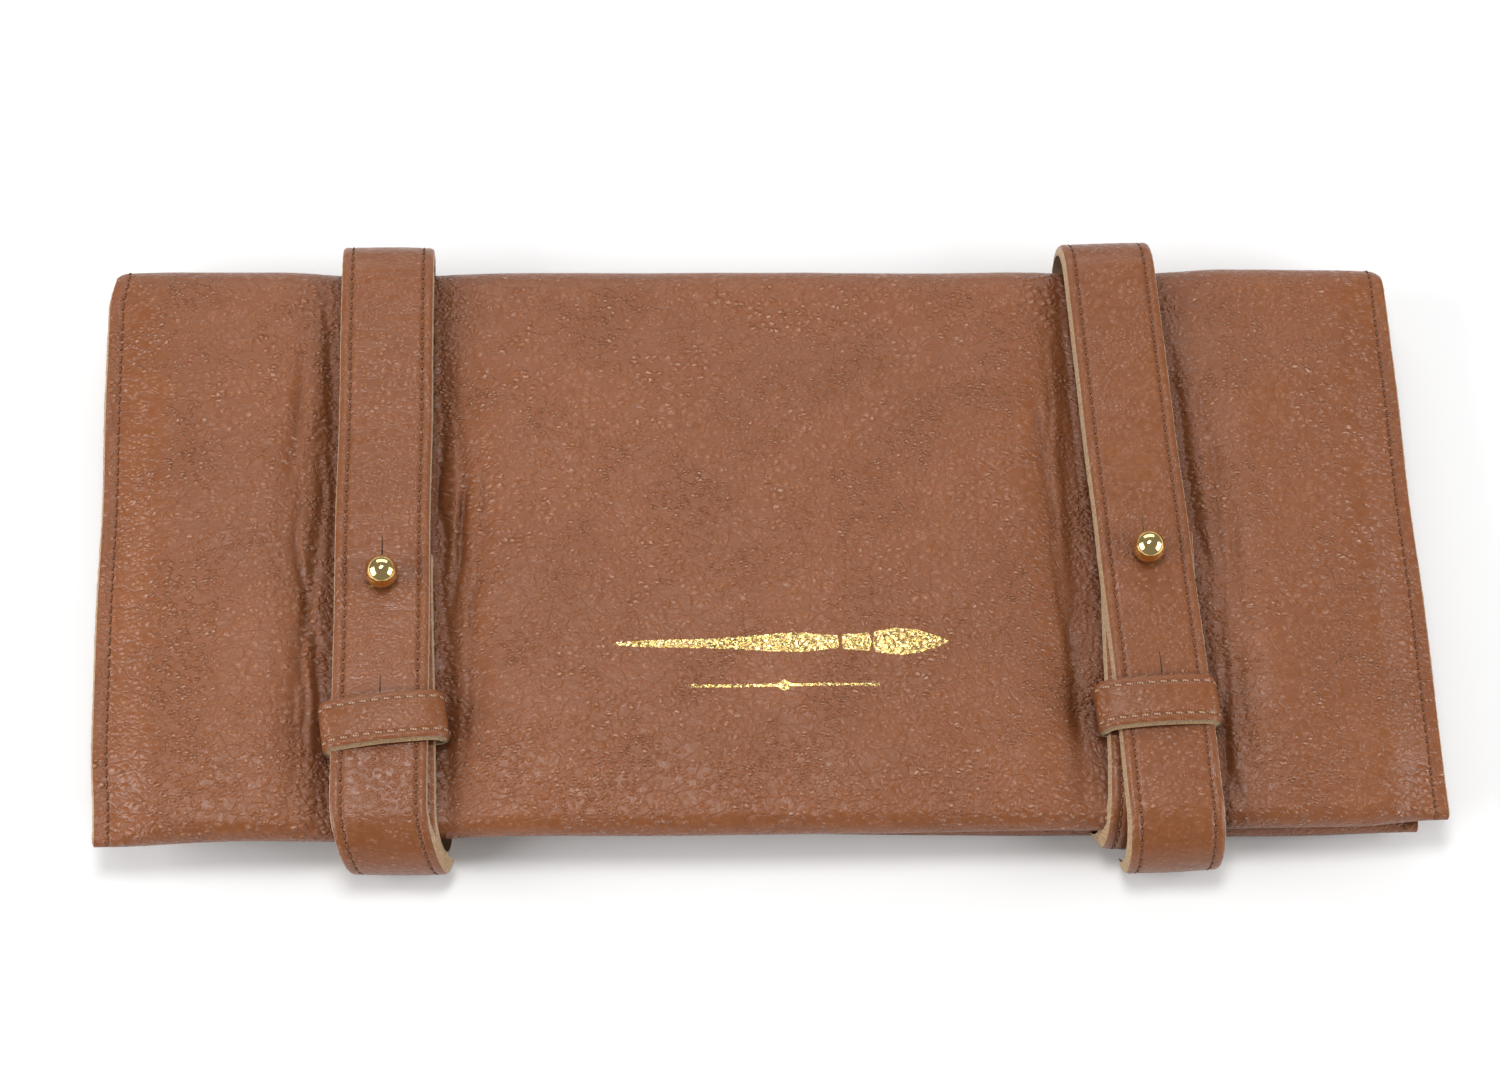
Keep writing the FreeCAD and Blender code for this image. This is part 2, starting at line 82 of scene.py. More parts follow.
HALF_LENGTH = 182.5
SKIN = 1.6
BEND_PARING = 1.2
SPLIT_LINE = 60.0
SPINE_EDGE = 86.55
FRONT_EDGE = -85.2
FRONT_TOP = 21.5
FRONT_LOW = 12.2
FRONT_MOUTH = 55.0
BACK_TOP = 11.6
BACK_LOW = 2.4
BACK_MOUTH = -40.0
SEAM_INSET = 3.6

STRAP_HALF = 12.7
STRAP_SKIN = 2.2
STRAP_PARING = 1.7
STRAP_SEAM = 10.0
TAIL_TOP = 27.7
END_TOP = 25.2
LOW_BEND_HEIGHT = 12.6
TOP_BEND_HEIGHT = 13.85
STUD_MARGIN = 8.0
CURL = math.radians(45)
BUTTONHOLE_RADIUS = 2.1
BUTTONHOLE_PITCH = 41.0
SLIT_REACH = 12.8
SLIT_HALF = 0.30

# Where each strap lies: its tail's middle line on X, its bends and stud along Y, and slants in degrees.
LAYOUT = {
    "left": dict(tail=-106.6, tail_tilt=-0.8, end_tilt=0.5, stud=-13.9,
                 top_bend=80.1, low_bend=-77.8, end_bend=-78.2,
                 keeper=(-106.2, -55.7), keeper_tilt=6.9),
    "right": dict(tail=103.8, tail_tilt=1.8, end_tilt=-2.4, stud=-8.2,
                  top_bend=81.2, low_bend=-80.2, end_bend=-76.6,
                  keeper=(103.6, -53.0), keeper_tilt=4.0),
}
FAR_AWAY = 1e3
OPEN_ROOM = 0.8


# ---------------------------------------------------------------- numbers

def smooth(t):
    """0 below 0, 1 above 1, and an even curve between."""
    t = np.clip(t, 0, 1)
    return t * t * (3 - 2 * t)


def hump(t):
    """1 at 0, falling to nothing within about 2."""
    return np.exp(-np.square(t))


LATTICE = 61
NOISE_COSINE = 0.83
NOISE_SINE = 0.56


def waver(a, b, size, seed):
    """Smooth noise from -1 to 1 over two coordinates, with bumps about size apart.

    It is read off a slanted lattice of random numbers, so that its bumps don't line up with the case.
    """
    lattice = np.random.default_rng(seed).uniform(-1, 1, (LATTICE, LATTICE))
    a, b = np.broadcast_arrays(np.asarray(a, float) / size, np.asarray(b, float) / size)
    across = NOISE_COSINE * a + NOISE_SINE * b + 0.37 * seed
    along = NOISE_COSINE * b - NOISE_SINE * a
    i = np.floor(across).astype(int)
    j = np.floor(along).astype(int)
    s = smooth(across - i)
    t = smooth(along - j)
    i, j = i % LATTICE, j % LATTICE
    far = (i + 1) % LATTICE
    high = (j + 1) % LATTICE
    low_edge = lattice[i, j] * (1 - s) + lattice[far, j] * s
    high_edge = lattice[i, high] * (1 - s) + lattice[far, high] * s
    return low_edge * (1 - t) + high_edge * t


def steps(low, high, spacing):
    """Numbers from low to high, spaced as the function spacing says at each place."""
    place = low
    found = [low]
    while place < high:
        place += spacing(place)
        found.append(place)
    found = np.array(found)
    return low + (found - low) * (high - low) / (found[-1] - low)


def rows_of(counts):
    """The row numbers of a path of several stretches: whole numbers where one meets the next."""
    return np.concatenate([[0.0]] + [k + np.arange(1, n + 1) / n for k, n in enumerate(counts)])


def slope_of(tilt):
    return math.tan(math.radians(tilt))


def turned(across, along, height, place, line, tilt):
    """Points of a strap's own frame, turned about Z and moved to (place, line)."""
    cosine = math.cos(math.radians(tilt))
    sine = math.sin(math.radians(tilt))
    across, along, height = np.broadcast_arrays(across, along, height)
    x = place + across * cosine - along * sine
    y = line + across * sine + along * cosine
    return np.stack([x, y, height], -1)


# ---------------------------------------------------------------- where each strap lies

def stud_place(side):
    """Where a stud goes through its strap, as (x, y)."""
    at = LAYOUT[side]
    tilt = math.radians(at["tail_tilt"])
    return at["tail"] - math.sin(tilt) * at["stud"], math.cos(tilt) * at["stud"]


def end_frame(side):
    """Place, line and tilt of a stud end: it goes through its stud."""
    x, y = stud_place(side)
    tilt = LAYOUT[side]["end_tilt"]
    return x + slope_of(tilt) * y, 0.0, tilt


def tail_frame(side):
    at = LAYOUT[side]
    return at["tail"], 0.0, at["tail_tilt"]


def run_frame(side):
    """Place, line and tilt of the run under the case, from the stud end's bend to the tail's."""
    at = LAYOUT[side]
    place, _, tilt = end_frame(side)
    low = place - slope_of(tilt) * at["end_bend"]
    high = at["tail"] - slope_of(at["tail_tilt"]) * at["top_bend"]
    slope = (low - high) / (at["top_bend"] - at["end_bend"])
    return low + slope * at["end_bend"], 0.0, math.degrees(math.atan(slope))


def strap_clearance(x, y):
    """How far a point on the case is from the nearest strap's edges. 0 under a strap."""
    found = np.full(np.broadcast(x, y).shape, FAR_AWAY)
    for side in SIDES:
        at = LAYOUT[side]
        tail = at["tail"] - slope_of(at["tail_tilt"]) * y
        place, _, tilt = end_frame(side)
        end = place - slope_of(tilt) * y
        share = smooth((at["stud"] + 14 - y) / 12)
        other = tail + (end - tail) * share
        low = np.minimum(tail, other) - STRAP_HALF
        high = np.maximum(tail, other) + STRAP_HALF
        found = np.minimum(found, np.maximum(np.maximum(low - x, x - high), 0))
    return found


def open_clearance(x, y):
    """How far a point on the front leather is from where the tails lie along it when the case is open.

    A tail turns over about its own bend, so its slant is mirrored there.
    """
    found = np.full(np.broadcast(x, y).shape, FAR_AWAY)
    for side in SIDES:
        at = LAYOUT[side]
        slope = slope_of(at["tail_tilt"])
        bend = at["tail"] - slope * at["top_bend"]
        middle = bend + slope * (y - at["top_bend"])
        found = np.minimum(found, np.maximum(np.abs(x - middle) - STRAP_HALF - OPEN_ROOM, 0))
    return found


def flank(x, y):
    """For each edge of each strap's tail: the side, which edge it is, and how far outside it a point is."""
    for side in SIDES:
        at = LAYOUT[side]
        tail = at["tail"] - slope_of(at["tail_tilt"]) * y
        yield side, -1, (tail - STRAP_HALF) - x
        yield side, 1, x - (tail + STRAP_HALF)


# ---------------------------------------------------------------- the case's surfaces

CREASES_PER_FLANK = 8


def make_creases():
    """The long creases that the straps press into the front leather, each with its place, run and depth."""
    draw = np.random.default_rng(41)
    found = {}
    for side in SIDES:
        for edge in (-1, 1):
            lines = []
            for _ in range(CREASES_PER_FLANK):
                middle = draw.uniform(-70, 45)
                lines.append(dict(off=draw.uniform(1.0, 15.0), middle=middle, reach=draw.uniform(14, 38),
                                  depth=draw.uniform(0.35, 1.05), width=draw.uniform(0.8, 1.4),
                                  slant=draw.uniform(-0.10, 0.10), seed=int(draw.integers(1, 9999))))
            found[side, edge] = lines
    return found


CREASES = make_creases()


def creased(x, y):
    """How deep the creases beside the straps are at a point."""
    depth = np.zeros(np.broadcast(x, y).shape)
    for side, edge, away in flank(x, y):
        for line in CREASES[side, edge]:
            off = line["off"] + line["slant"] * (y - line["middle"]) + 1.3 * waver(y, 0 * y, 13, line["seed"])
            run = hump((y - line["middle"]) / line["reach"])
            depth = depth + line["depth"] * run * hump((away - off) / line["width"])
    return depth


def edge_room(x):
    """Distance in from the nearer side edge of a leaf."""
    return HALF_LENGTH - np.abs(x)


def seam_groove(room):
    """Depth of the groove that the side seam's stitches pull into the leather."""
    return 0.32 * hump((room - SEAM_INSET) / 0.55)


def pinched(room, reach):
    """1 at a side edge, where the seam pinches the leaf flat, to 0 once reach further in."""
    return 1 - smooth((room - 2.0) / reach)


SIDE_FLARE = 0.55
FRONT_SWELL = 3.2
FRONT_HOLLOW = 1.3
FRONT_SEAM_TOP = 18.6
BACK_SAG = 1.15
BACK_SEAM_LOW = 4.9
BACK_FOLD_EDGE = -83.7


def front_high(x, y):
    """Height of the front leaf's grain: full between the straps, pressed under them, pinched at its seams."""
    near = strap_clearance(x, y)
    near_open = open_clearance(x, y)
    free = smooth((near - 1.5) / 19) * smooth((near_open + 1.0) / 9)
    ends = 0.35 + 0.65 * smooth((74 - y) / 30) * smooth((y + 84) / 22)
    pressed = (1 - smooth(np.minimum(near / 7, near_open / 5))) * (0.5 + 0.5 * ends)
    full = FRONT_SWELL * free * ends - FRONT_HOLLOW * pressed
    broad = 0.42 * waver(x, y, 34, 5) + 0.24 * waver(x, y, 15, 6) * free
    lumps = 0.08 * waver(x, y, 6, 7)
    height = FRONT_TOP + full + broad * (0.35 + 0.65 * free) + lumps - creased(x, y)
    room = edge_room(x)
    ripple = 0.35 * waver(y, 0 * x, 11, 8) * hump((room - 6) / 6)
    return height + (FRONT_SEAM_TOP - height) * pinched(room, 15) * 0.96 - seam_groove(room) + ripple


def front_low(x, y):
    """Height of the front leaf's underside, the pocket's outer skin."""
    room = edge_room(x)
    return FRONT_LOW + 0.12 * waver(x, y, 24, 9) + 2.9 * pinched(room, 13) + seam_groove(room)


def back_high(x, y):
    """Height of the back leaf's pocket, inside the case."""
    room = edge_room(x)
    return BACK_TOP - 0.25 + 0.2 * waver(x, y, 26, 10) - 2.2 * pinched(room, 13) - seam_groove(room)


def back_low(x, y):
    """Height of the back leaf's underside: it sags a little between the straps that the case lies on."""
    free = smooth((strap_clearance(x, y) - 1) / 25)
    room = edge_room(x)
    height = BACK_LOW - BACK_SAG * free + 0.22 * free * waver(x, y, 30, 11)
    return height + (BACK_SEAM_LOW - height) * pinched(room, 15) + seam_groove(room)


def front_edge(x):
    """The front fold's outermost line along Y."""
    left_corner = 1.3 * smooth((-140 - x) / 40)
    right_corner = 1.3 * smooth((x - 158) / 20)
    return FRONT_EDGE + 0.3 * waver(x, 0 * x, 40, 12) - left_corner + right_corner


def back_edge(x):
    """The back fold's outermost line. It isn't parallel to the front one: it shows only on the right."""
    drawn_in = 7.8 * smooth((150 - x) / 400) + 2.2 * smooth((20 - x) / 160)
    lower = 0.4 * smooth((x - 105) / 20) * smooth((168 - x) / 15)
    return BACK_FOLD_EDGE + drawn_in - lower + 0.25 * waver(x, 0 * x, 30, 13)


def spine_edge(x):
    """The spine's outermost line along Y."""
    corner = 1.3 * np.square(np.clip(1 - edge_room(x) / 3, 0, 1))
    outer = 0.9 * smooth((np.abs(x) - 118) / 20)
    return SPINE_EDGE + 0.35 + 0.4 * waver(x, 0 * x, 38, 14) + outer - corner


def along_to(a, b, share):
    return a + (b - a) * share


def round_fold(high, low, x, y):
    """Radius and middle height of a fold that joins two skins at a line."""
    top = high(x, y)
    bottom = low(x, y)
    return (top - bottom) / 2, (top + bottom) / 2


def folded(x, q, start, edge, end, high, low):
    """A skin from start along its upper side, round the fold at edge, and along its lower side to end."""
    radius, _ = round_fold(high, low, x, edge(x) + 4.7)
    fold = edge(x) + radius
    radius, centre = round_fold(high, low, x, fold)
    turn = np.clip(q - 1, 0, 1) * math.pi
    y = np.where(q < 1, along_to(start, fold, q), fold - radius * np.sin(turn))
    y = np.where(q > 2, along_to(fold, end, q - 2), y)
    z = np.where(q < 1, high(x, y), centre + radius * np.cos(turn))
    z = np.where(q > 2, low(x, y), z)
    return np.stack([np.broadcast_to(x, y.shape), y, z], -1)


def side_wander(x, y):
    """How far the cut sides are from straight, fading into the leaf."""
    return 0.5 * waver(y, np.sign(x), 37, 15) * (1 - smooth(edge_room(x) / 30)) * np.sign(x)


def bow(x, y):
    """How far the front leather's left side bows outward."""
    return 1.3 * smooth((y + 84) / 25) * smooth((84 - y) / 10) * smooth((-150 - x) / 30)


def front_skin(x, q):
    p = folded(x, q, SPLIT_LINE, front_edge, FRONT_MOUTH, front_high, front_low)
    p[..., 0] += side_wander(p[..., 0], p[..., 1])
    p[..., 0] -= bow(p[..., 0], p[..., 1])
    return p


def back_skin(x, q):
    """The back leaf. It is cut narrower than the front leaf towards its fold."""
    p = folded(x, q, BACK_MOUTH, back_edge, SPLIT_LINE, back_high, back_low)
    drawn = smooth((SPLIT_LINE - p[..., 1]) / 100)
    right = smooth((p[..., 0] - 120) / 62)
    narrower = 1.8 + 4.6 * smooth((-20 - p[..., 1]) / 70)
    p[..., 0] += side_wander(p[..., 0], p[..., 1]) - drawn * right * narrower
    left = smooth((-120 - p[..., 0]) / 62)
    p[..., 0] += drawn * left * 1.2
    return p


def spine_skin(x, q):
    """From the underside, round the spine, to the top."""
    radius, _ = round_fold(front_high, back_low, x, 75 + 0 * x)
    bend = spine_edge(x) - radius
    radius, centre = round_fold(front_high, back_low, x, bend)
    turn = np.clip(q - 1, 0, 1) * math.pi
    y = np.where(q < 1, along_to(SPLIT_LINE, bend, q), bend + radius * np.sin(turn))
    y = np.where(q > 2, along_to(bend, SPLIT_LINE, q - 2), y)
    z = np.where(q < 1, back_low(x, y), centre - radius * np.cos(turn))
    z = np.where(q > 2, front_high(x, y), z)
    p = np.stack([np.broadcast_to(x, y.shape), y, z], -1)
    bowed = bow(p[..., 0], p[..., 1]) * smooth(q - 1)
    p[..., 0] += side_wander(p[..., 0], p[..., 1]) - bowed
    return p


# ---------------------------------------------------------------- the straps' surfaces

def follow(path, q):
    """Points and outward directions in the YZ plane along a path of lines and arcs, at row numbers q."""
    y, z, ny, nz = np.zeros((4,) + q.shape)
    for k, stretch in enumerate(path):
        here = (q >= k) & (q <= k + 1) if k == 0 else (q > k) & (q <= k + 1)
        share = (q - k)[here]
        if stretch[0] == "arc":
            _, cy, cz, radius, start, end = stretch
            turn = start + (end - start) * share
            ny[here] = np.cos(turn)
            nz[here] = np.sin(turn)
            y[here] = cy + radius * ny[here]
            z[here] = cz + radius * nz[here]
        else:
            _, y0, y1, height, up = stretch
            y[here] = along_to(y0, y1, share)
            z[here] = height
            nz[here] = up
    return y, z, ny, nz


def tail_path(side):
    at = LAYOUT[side]
    low_radius = TAIL_TOP - LOW_BEND_HEIGHT
    return [("arc", at["top_bend"], TOP_BEND_HEIGHT, TOP_BEND_HEIGHT, -math.pi / 2, math.pi / 2),
            ("line", at["top_bend"], at["low_bend"], TAIL_TOP, 1),
            ("arc", at["low_bend"], LOW_BEND_HEIGHT, low_radius, math.pi / 2, math.pi + CURL)]


def end_path(side):
    _, y = stud_place(side)
    bend = LAYOUT[side]["end_bend"]
    return [("line", y + STUD_MARGIN, bend, END_TOP, 1),
            ("arc", bend, LOW_BEND_HEIGHT, LOW_BEND_HEIGHT, math.pi / 2, 3 * math.pi / 2)]


def run_path(side):
    return [("line", LAYOUT[side]["end_bend"], LAYOUT[side]["top_bend"], 0.0, -1)]


def strap_relief(u, s, seed):
    """Height of a strap's grain over its plain form: seam grooves, rolled edges, a low crown and ripples."""
    groove = 0.34 * hump((np.abs(u) - STRAP_SEAM) / 0.5)
    roll = 0.42 * smooth((np.abs(u) - 11.6) / 1.1) ** 2
    crown = 0.16 * (1 - np.square(u / STRAP_HALF))
    ripple = 0.10 * waver(u, s, 9, seed) + 0.05 * waver(u * 0.5, s, 3.2, seed + 1)
    return crown - groove - roll + ripple


# How far the tail's tip, the stud end's lower bend and the stud end's start stray sideways.
STRAY = {"left": dict(tip=6.3, low=3.4, start=0.7), "right": dict(tip=0.2, low=0.0, start=1.0)}


def sway(side, layer, s, q):
    """How far a strap layer strays sideways from its straight line."""
    stray = STRAY[side]
    if layer == "tail":
        drift = stray["tip"] * smooth(q - 2.0)
    elif layer == "end":
        drift = stray["start"] * smooth(1.9 - q) + stray["low"] * smooth(q - 1.0)
    else:
        drift = stray["low"] * smooth(1 - q * 2.2)
    return drift + 0.22 * waver(s, 0 * s, 31, 60 + len(side))


def slump(bend, y, q, first):
    """How far a layer has already come down where its lower bend begins, easing off round the bend."""
    eased = 1 - smooth((q - first) * 1.5)
    return 0.8 * smooth((bend + 13 - y) / 13) * eased


def sag(side, y):
    """How far the tail drops between its bend and its stud."""
    at = LAYOUT[side]
    return 0.6 * smooth((y - at["stud"] - 6) / 30) * smooth((at["top_bend"] - 4 - y) / 26)


FLOOR_LIFT = 0.3


def strap_surface(side, layer, path, frame, seed):
    """A function from (across, row number) to points of one layer of a strap.

    Its underside is lifted a little, so that the relief of the grain stays above the floor.
    """
    at = LAYOUT[side]

    def surface(u, q):
        u, q = np.broadcast_arrays(np.asarray(u, float), np.asarray(q, float))
        y, z, ny, nz = follow(path, q)
        s = y - 20 * q
        rise = strap_relief(u, s, seed)
        if layer == "tail":
            on_top = np.abs(q - 1.5) < 0.5
            rise = rise - sag(side, y) * on_top - slump(at["low_bend"], y, q, 2) * (q > 1)
        if layer == "end":
            rise = rise - slump(at["end_bend"], y, q, 1)
        under = {"tail": smooth(1 - 2 * q), "end": smooth(2 * q - 3), "run": 1.0}[layer]
        rise = rise - FLOOR_LIFT * under
        edge = sway(side, layer, s, q)
        return turned(u + edge, y + ny * rise, z + nz * rise, *frame)
    return surface


# ---------------------------------------------------------------- meshes

def normals_of(grid, closed=False):
    """Outward directions of a grid of points: along its rows' order, crossed with across."""
    if closed:
        down = np.roll(grid, -1, 0) - np.roll(grid, 1, 0)
    else:
        down = np.gradient(grid, axis=0)
    n = np.cross(down, np.gradient(grid, axis=1))
    return n / np.maximum(np.linalg.norm(n, axis=-1, keepdims=True), 1e-9)


def travel(grid):
    """Distance along the rows from the first one, for each column."""
    gap = np.linalg.norm(np.diff(grid, axis=0), axis=-1)
    return np.vstack([np.zeros(grid.shape[1]), np.cumsum(gap, 0)])


def cells_of(index, skip=()):
    """Four-cornered faces between neighbouring rows and columns of an array of point numbers."""
    a, b, c, d = index[:-1, :-1], index[1:, :-1], index[1:, 1:], index[:-1, 1:]
    quads = np.stack([a, b, c, d], -1)
    keep = np.ones(quads.shape[1], bool)
    keep[list(skip)] = False
    return quads[:, keep].reshape(-1, 4)


def mesh_object(name, points, faces, materials, flat, kinds=None):
    """A smooth mesh object from points and places on the flat hide, both in millimetres.

    kinds gives each face's material.
    """
    mesh = bpy.data.meshes.new(name)
    mesh.from_pydata((points * MM).tolist(), [], faces)
    for material in materials:
        mesh.materials.append(material)
    if kinds is not None:
        mesh.polygons.foreach_set("material_index", np.asarray(kinds, np.int32))
    mesh.polygons.foreach_set("use_smooth", np.ones(len(faces), bool))
    layer = mesh.attributes.new("flat", "FLOAT_VECTOR", "POINT")
    layer.data.foreach_set("vector", (flat * MM).astype(np.float32).ravel())
    thing = bpy.data.objects.new(name, mesh)
    bpy.context.scene.collection.objects.link(thing)
    return thing


def settled(thing):
    thing.data.validate()
    thing.data.update()
    return thing


def sharpen(mesh, pairs):
    """Marks the edges between pairs of points as sharp."""
    wanted = {(min(a, b), max(a, b)) for a, b in pairs}
    ends = np.empty(len(mesh.edges) * 2, np.int32)
    mesh.edges.foreach_get("vertices", ends)
    ends = np.sort(ends.reshape(-1, 2), 1)
    flags = np.array([(a, b) in wanted for a, b in ends.tolist()])
    mesh.attributes.new("sharp_edge", "BOOLEAN", "EDGE").data.foreach_set("value", flags)


def rim_of(rows, columns):
    """The outline of a grid, as row and column numbers in order."""
    r = np.arange(rows)
    c = np.arange(columns)
    round_rows = [0 * c, r[1:], 0 * c[:-1] + rows - 1, r[1:-1][::-1]]
    round_columns = [c, 0 * r[1:] + columns - 1, c[:-1][::-1], 0 * r[1:-1]]
    return np.concatenate(round_rows), np.concatenate(round_columns)


GRAIN, EDGE, UNDER = 0, 1, 2
RIM_LEVELS = ((0.12, 0.07), (0.5, 0.13), (0.88, 0.07))
HOLE_SWELL = 0.2


def backward(ring):
    """A ring of point numbers the other way round, from the same first point."""
    return np.roll(ring[::-1], 1)


def hole_loops(index, split, opening):
    """The rim of each stretch where the grain is parted along the column split."""
    parted = np.flatnonzero(opening)
    for run in np.split(parted, np.flatnonzero(np.diff(parted) > 1) + 1):
        if len(run) == 0:
            continue
        left = index[run, split]
        right = index[run, split + 1]
        first = index[run[0] - 1, split]
        last = index[run[-1] + 1, split]
        yield backward(np.concatenate([[first], left, [last], right[::-1]]))


def rim_loops(index, closed):
    """The outer rims of a piece: both ends of a closed band, or the outline of a flat one."""
    if closed:
        return [backward(index[:, 0]), index[:, -1]]
    return [backward(index[rim_of(*index.shape)])]


def leather(name, grid, thickness, flat, materials, split=None, opening=None, closed=False, flare=None,
            fuzz=0.12, even=False, seed=1):
    """A closed piece of leather from its grain side's grid of points.

    split is the column where the grain is parted, and opening says, for each row, whether it is parted there.
    closed joins the last row to the first. flare moves the flesh side's points across by that much.
    even sets the flesh side square under each row, whatever the grain's own relief.
    fuzz is how far the cut edge's loose fibres stand out.
    """
    rows, columns = grid.shape[:2]
    normal = normals_of(grid, closed)
    if even:
        level = normal[:, 3:-3].mean(1, keepdims=True)
        level /= np.linalg.norm(level, axis=-1, keepdims=True)
        normal = np.broadcast_to(level, normal.shape)
    depth = np.broadcast_to(np.asarray(thickness, float), (rows, columns))
    under = grid - normal * depth[..., None]
    if flare is not None:
        under = under + flare
    count = rows * columns
    index = np.arange(count).reshape(rows, columns)
    flat_grain = np.concatenate([flat, np.zeros((rows, columns, 1))], -1).reshape(-1, 3)
    flat_under = np.concatenate([flat, depth[..., None]], -1).reshape(-1, 3)
    grain_points = grid.reshape(-1, 3)
    under_points = under.reshape(-1, 3)
    points = [grain_points, under_points]
    flats = [flat_grain, flat_under]
    skip = []
    if split is not None:
        index[~opening, split + 1] = index[~opening, split]
        skip = [split]
    grain_faces = cells_of(np.vstack([index, index[:1]]) if closed else index, skip)
    faces = [grain_faces, grain_faces[:, ::-1] + count]
    kinds = [np.full(len(grain_faces), GRAIN), np.full(len(grain_faces), UNDER)]
    loops = [(ring, False) for ring in rim_loops(index, closed)]
    if split is not None:
        loops += [(ring, True) for ring in hole_loops(index, split, opening)]
    draw = np.random.default_rng(seed)
    total = 2 * count
    sharp = []
    for ring, is_hole in loops:
        top = grain_points[ring]
        low = under_points[ring]
        ahead = np.roll(top, -1, 0) - np.roll(top, 1, 0)
        outward = np.cross(normal.reshape(-1, 3)[ring], ahead)
        outward /= np.maximum(np.linalg.norm(outward, axis=1, keepdims=True), 1e-9)
        faces_out = (outward * (top - top.mean(0))).sum(1).mean() > 0
        if faces_out == is_hole:
            outward = -outward
        levels = [ring]
        for share, round_out in RIM_LEVELS:
            swell = round_out + fuzz * draw.uniform(-0.6, 1.0, len(ring))
            if is_hole:
                swell = swell * HOLE_SWELL
            points.append(top + (low - top) * share + outward * swell[:, None])
            place = flat_grain[ring].copy()
            place[:, 2] = depth.reshape(-1)[ring] * share
            flats.append(place)
            levels.append(total + np.arange(len(ring)))
            total += len(ring)
        levels.append(ring + count)
        for a, b in zip(levels[:-1], levels[1:]):
            wall = np.stack([a, np.roll(a, -1), np.roll(b, -1), b], -1)
            faces.append(wall)
            kinds.append(np.full(len(wall), EDGE))
        sharp += list(zip(ring, np.roll(ring, -1)))
        sharp += list(zip(ring + count, np.roll(ring + count, -1)))
    faces = np.vstack(faces)
    distinct = np.array([len(set(face)) == 4 for face in faces.tolist()])
    faces = faces[distinct]
    used, renumbered = np.unique(faces, return_inverse=True)
    new_number = {int(old): new for new, old in enumerate(used)}
    thing = mesh_object(name, np.vstack(points)[used], renumbered.reshape(faces.shape).tolist(), materials,
                        np.vstack(flats)[used], np.concatenate(kinds)[distinct])
    sharpen(thing.data, [(new_number[a], new_number[b]) for a, b in sharp])
    return settled(thing)


def lathe(name, profile, place, material, segments=64):
    """A turned piece from (radius, height) pairs, which start and end on the axis."""
    turn = np.arange(segments) / segments * 2 * math.pi
    points, rings = [], []
    for radius, height in profile:
        if radius == 0:
            rings.append(np.full(segments, len(points)))
            points.append((0, 0, height))
        else:
            rings.append(len(points) + np.arange(segments))
            points += [(radius * math.cos(a), radius * math.sin(a), height) for a in turn]
    faces = []
    for low, high in zip(rings[:-1], rings[1:]):
        for k in range(segments):
            n = (k + 1) % segments
            face = [low[k], low[n], high[n], high[k]]
            faces.append([v for i, v in enumerate(face) if v not in face[:i]])
    points = np.array(points)
    offset = np.array([place[0], place[1], 0.0])
    return settled(mesh_object(name, points + offset, faces, [material], points))


STITCH_PITCH = 3.15
THREAD = 0.36
BEAD_RINGS = 7
BEAD_SIDES = 7


NEIGHBOURS = np.array([-0.4, 0.0, 0.4])


def line_on(surface, across, low, high, samples=1600):
    """A fine line along a surface at one place across, from row low to row high, and its outward ways."""
    q = np.linspace(low, high, samples)
    grid = surface(across + NEIGHBOURS[None, :], q[:, None])
    return grid[:, 1], normals_of(grid)[:, 1]


STITCH_LEAN = 0.16


def add_stitches(found, line, normal, seed, lift=0.0, trim=0.8):
    """Adds one bead of thread for each stitch along a line. Ends dip into their holes."""
    draw = np.random.default_rng(seed)
    away = np.concatenate([[0], np.cumsum(np.linalg.norm(np.diff(line, axis=0), axis=1))])
    room = away[-1] - 2 * trim
    count = max(1, int(round(room / STITCH_PITCH)))
    pitch = room / count
    angle = np.arange(BEAD_SIDES) / BEAD_SIDES * 2 * math.pi
    for k in range(count):
        share = np.linspace(0, 1, BEAD_RINGS)
        at = trim + (k + 0.035 + 0.93 * share) * pitch
        centre = np.stack([np.interp(at, away, line[:, i]) for i in range(3)], -1)
        up = np.stack([np.interp(at, away, normal[:, i]) for i in range(3)], -1)
        up /= np.linalg.norm(up, axis=1, keepdims=True)
        ahead = np.gradient(centre, axis=0)
        ahead /= np.linalg.norm(ahead, axis=1, keepdims=True)
        side = np.cross(ahead, up)
        arch = np.sin(math.pi * share) ** 0.6
        thick = THREAD * (0.55 + 0.45 * arch) * draw.uniform(0.92, 1.06)
        slope = (STITCH_LEAN + draw.uniform(-0.04, 0.04)) * (share * 2 - 1)
        centre = centre + side * slope[:, None] + up * (-0.22 + 0.34 * arch + lift)[:, None]
        wide = np.cos(angle)[None, :, None] * thick[:, None, None]
        tall = np.sin(angle)[None, :, None] * 0.8 * thick[:, None, None]
        ring = centre[:, None] + side[:, None] * wide + up[:, None] * tall
        base = sum(len(p) for p in found["points"])
        found["points"].append(ring.reshape(-1, 3))
        mark = np.zeros((BEAD_RINGS, BEAD_SIDES, 3))
        mark[..., 0] = angle[None, :] * THREAD
        mark[..., 1] = at[:, None]
        mark[..., 2] = share[:, None] * 1000
        found["flat"].append(mark.reshape(-1, 3))
        index = base + np.arange(BEAD_RINGS * BEAD_SIDES).reshape(BEAD_RINGS, BEAD_SIDES)
        index = np.hstack([index, index[:, :1]])
        found["faces"] += cells_of(index)[:, ::-1].tolist()
        found["faces"] += [index[0, :-1].tolist(), index[-1, :-1][::-1].tolist()]


def stitch_piece(name, lines, material, **how):
    found = {"points": [], "flat": [], "faces": []}
    for k, (line, normal) in enumerate(lines):
        add_stitches(found, line, normal, seed=7 + k, **how)
    return settled(mesh_object(name, np.vstack(found["points"]), found["faces"], [material],
                               np.vstack(found["flat"])))


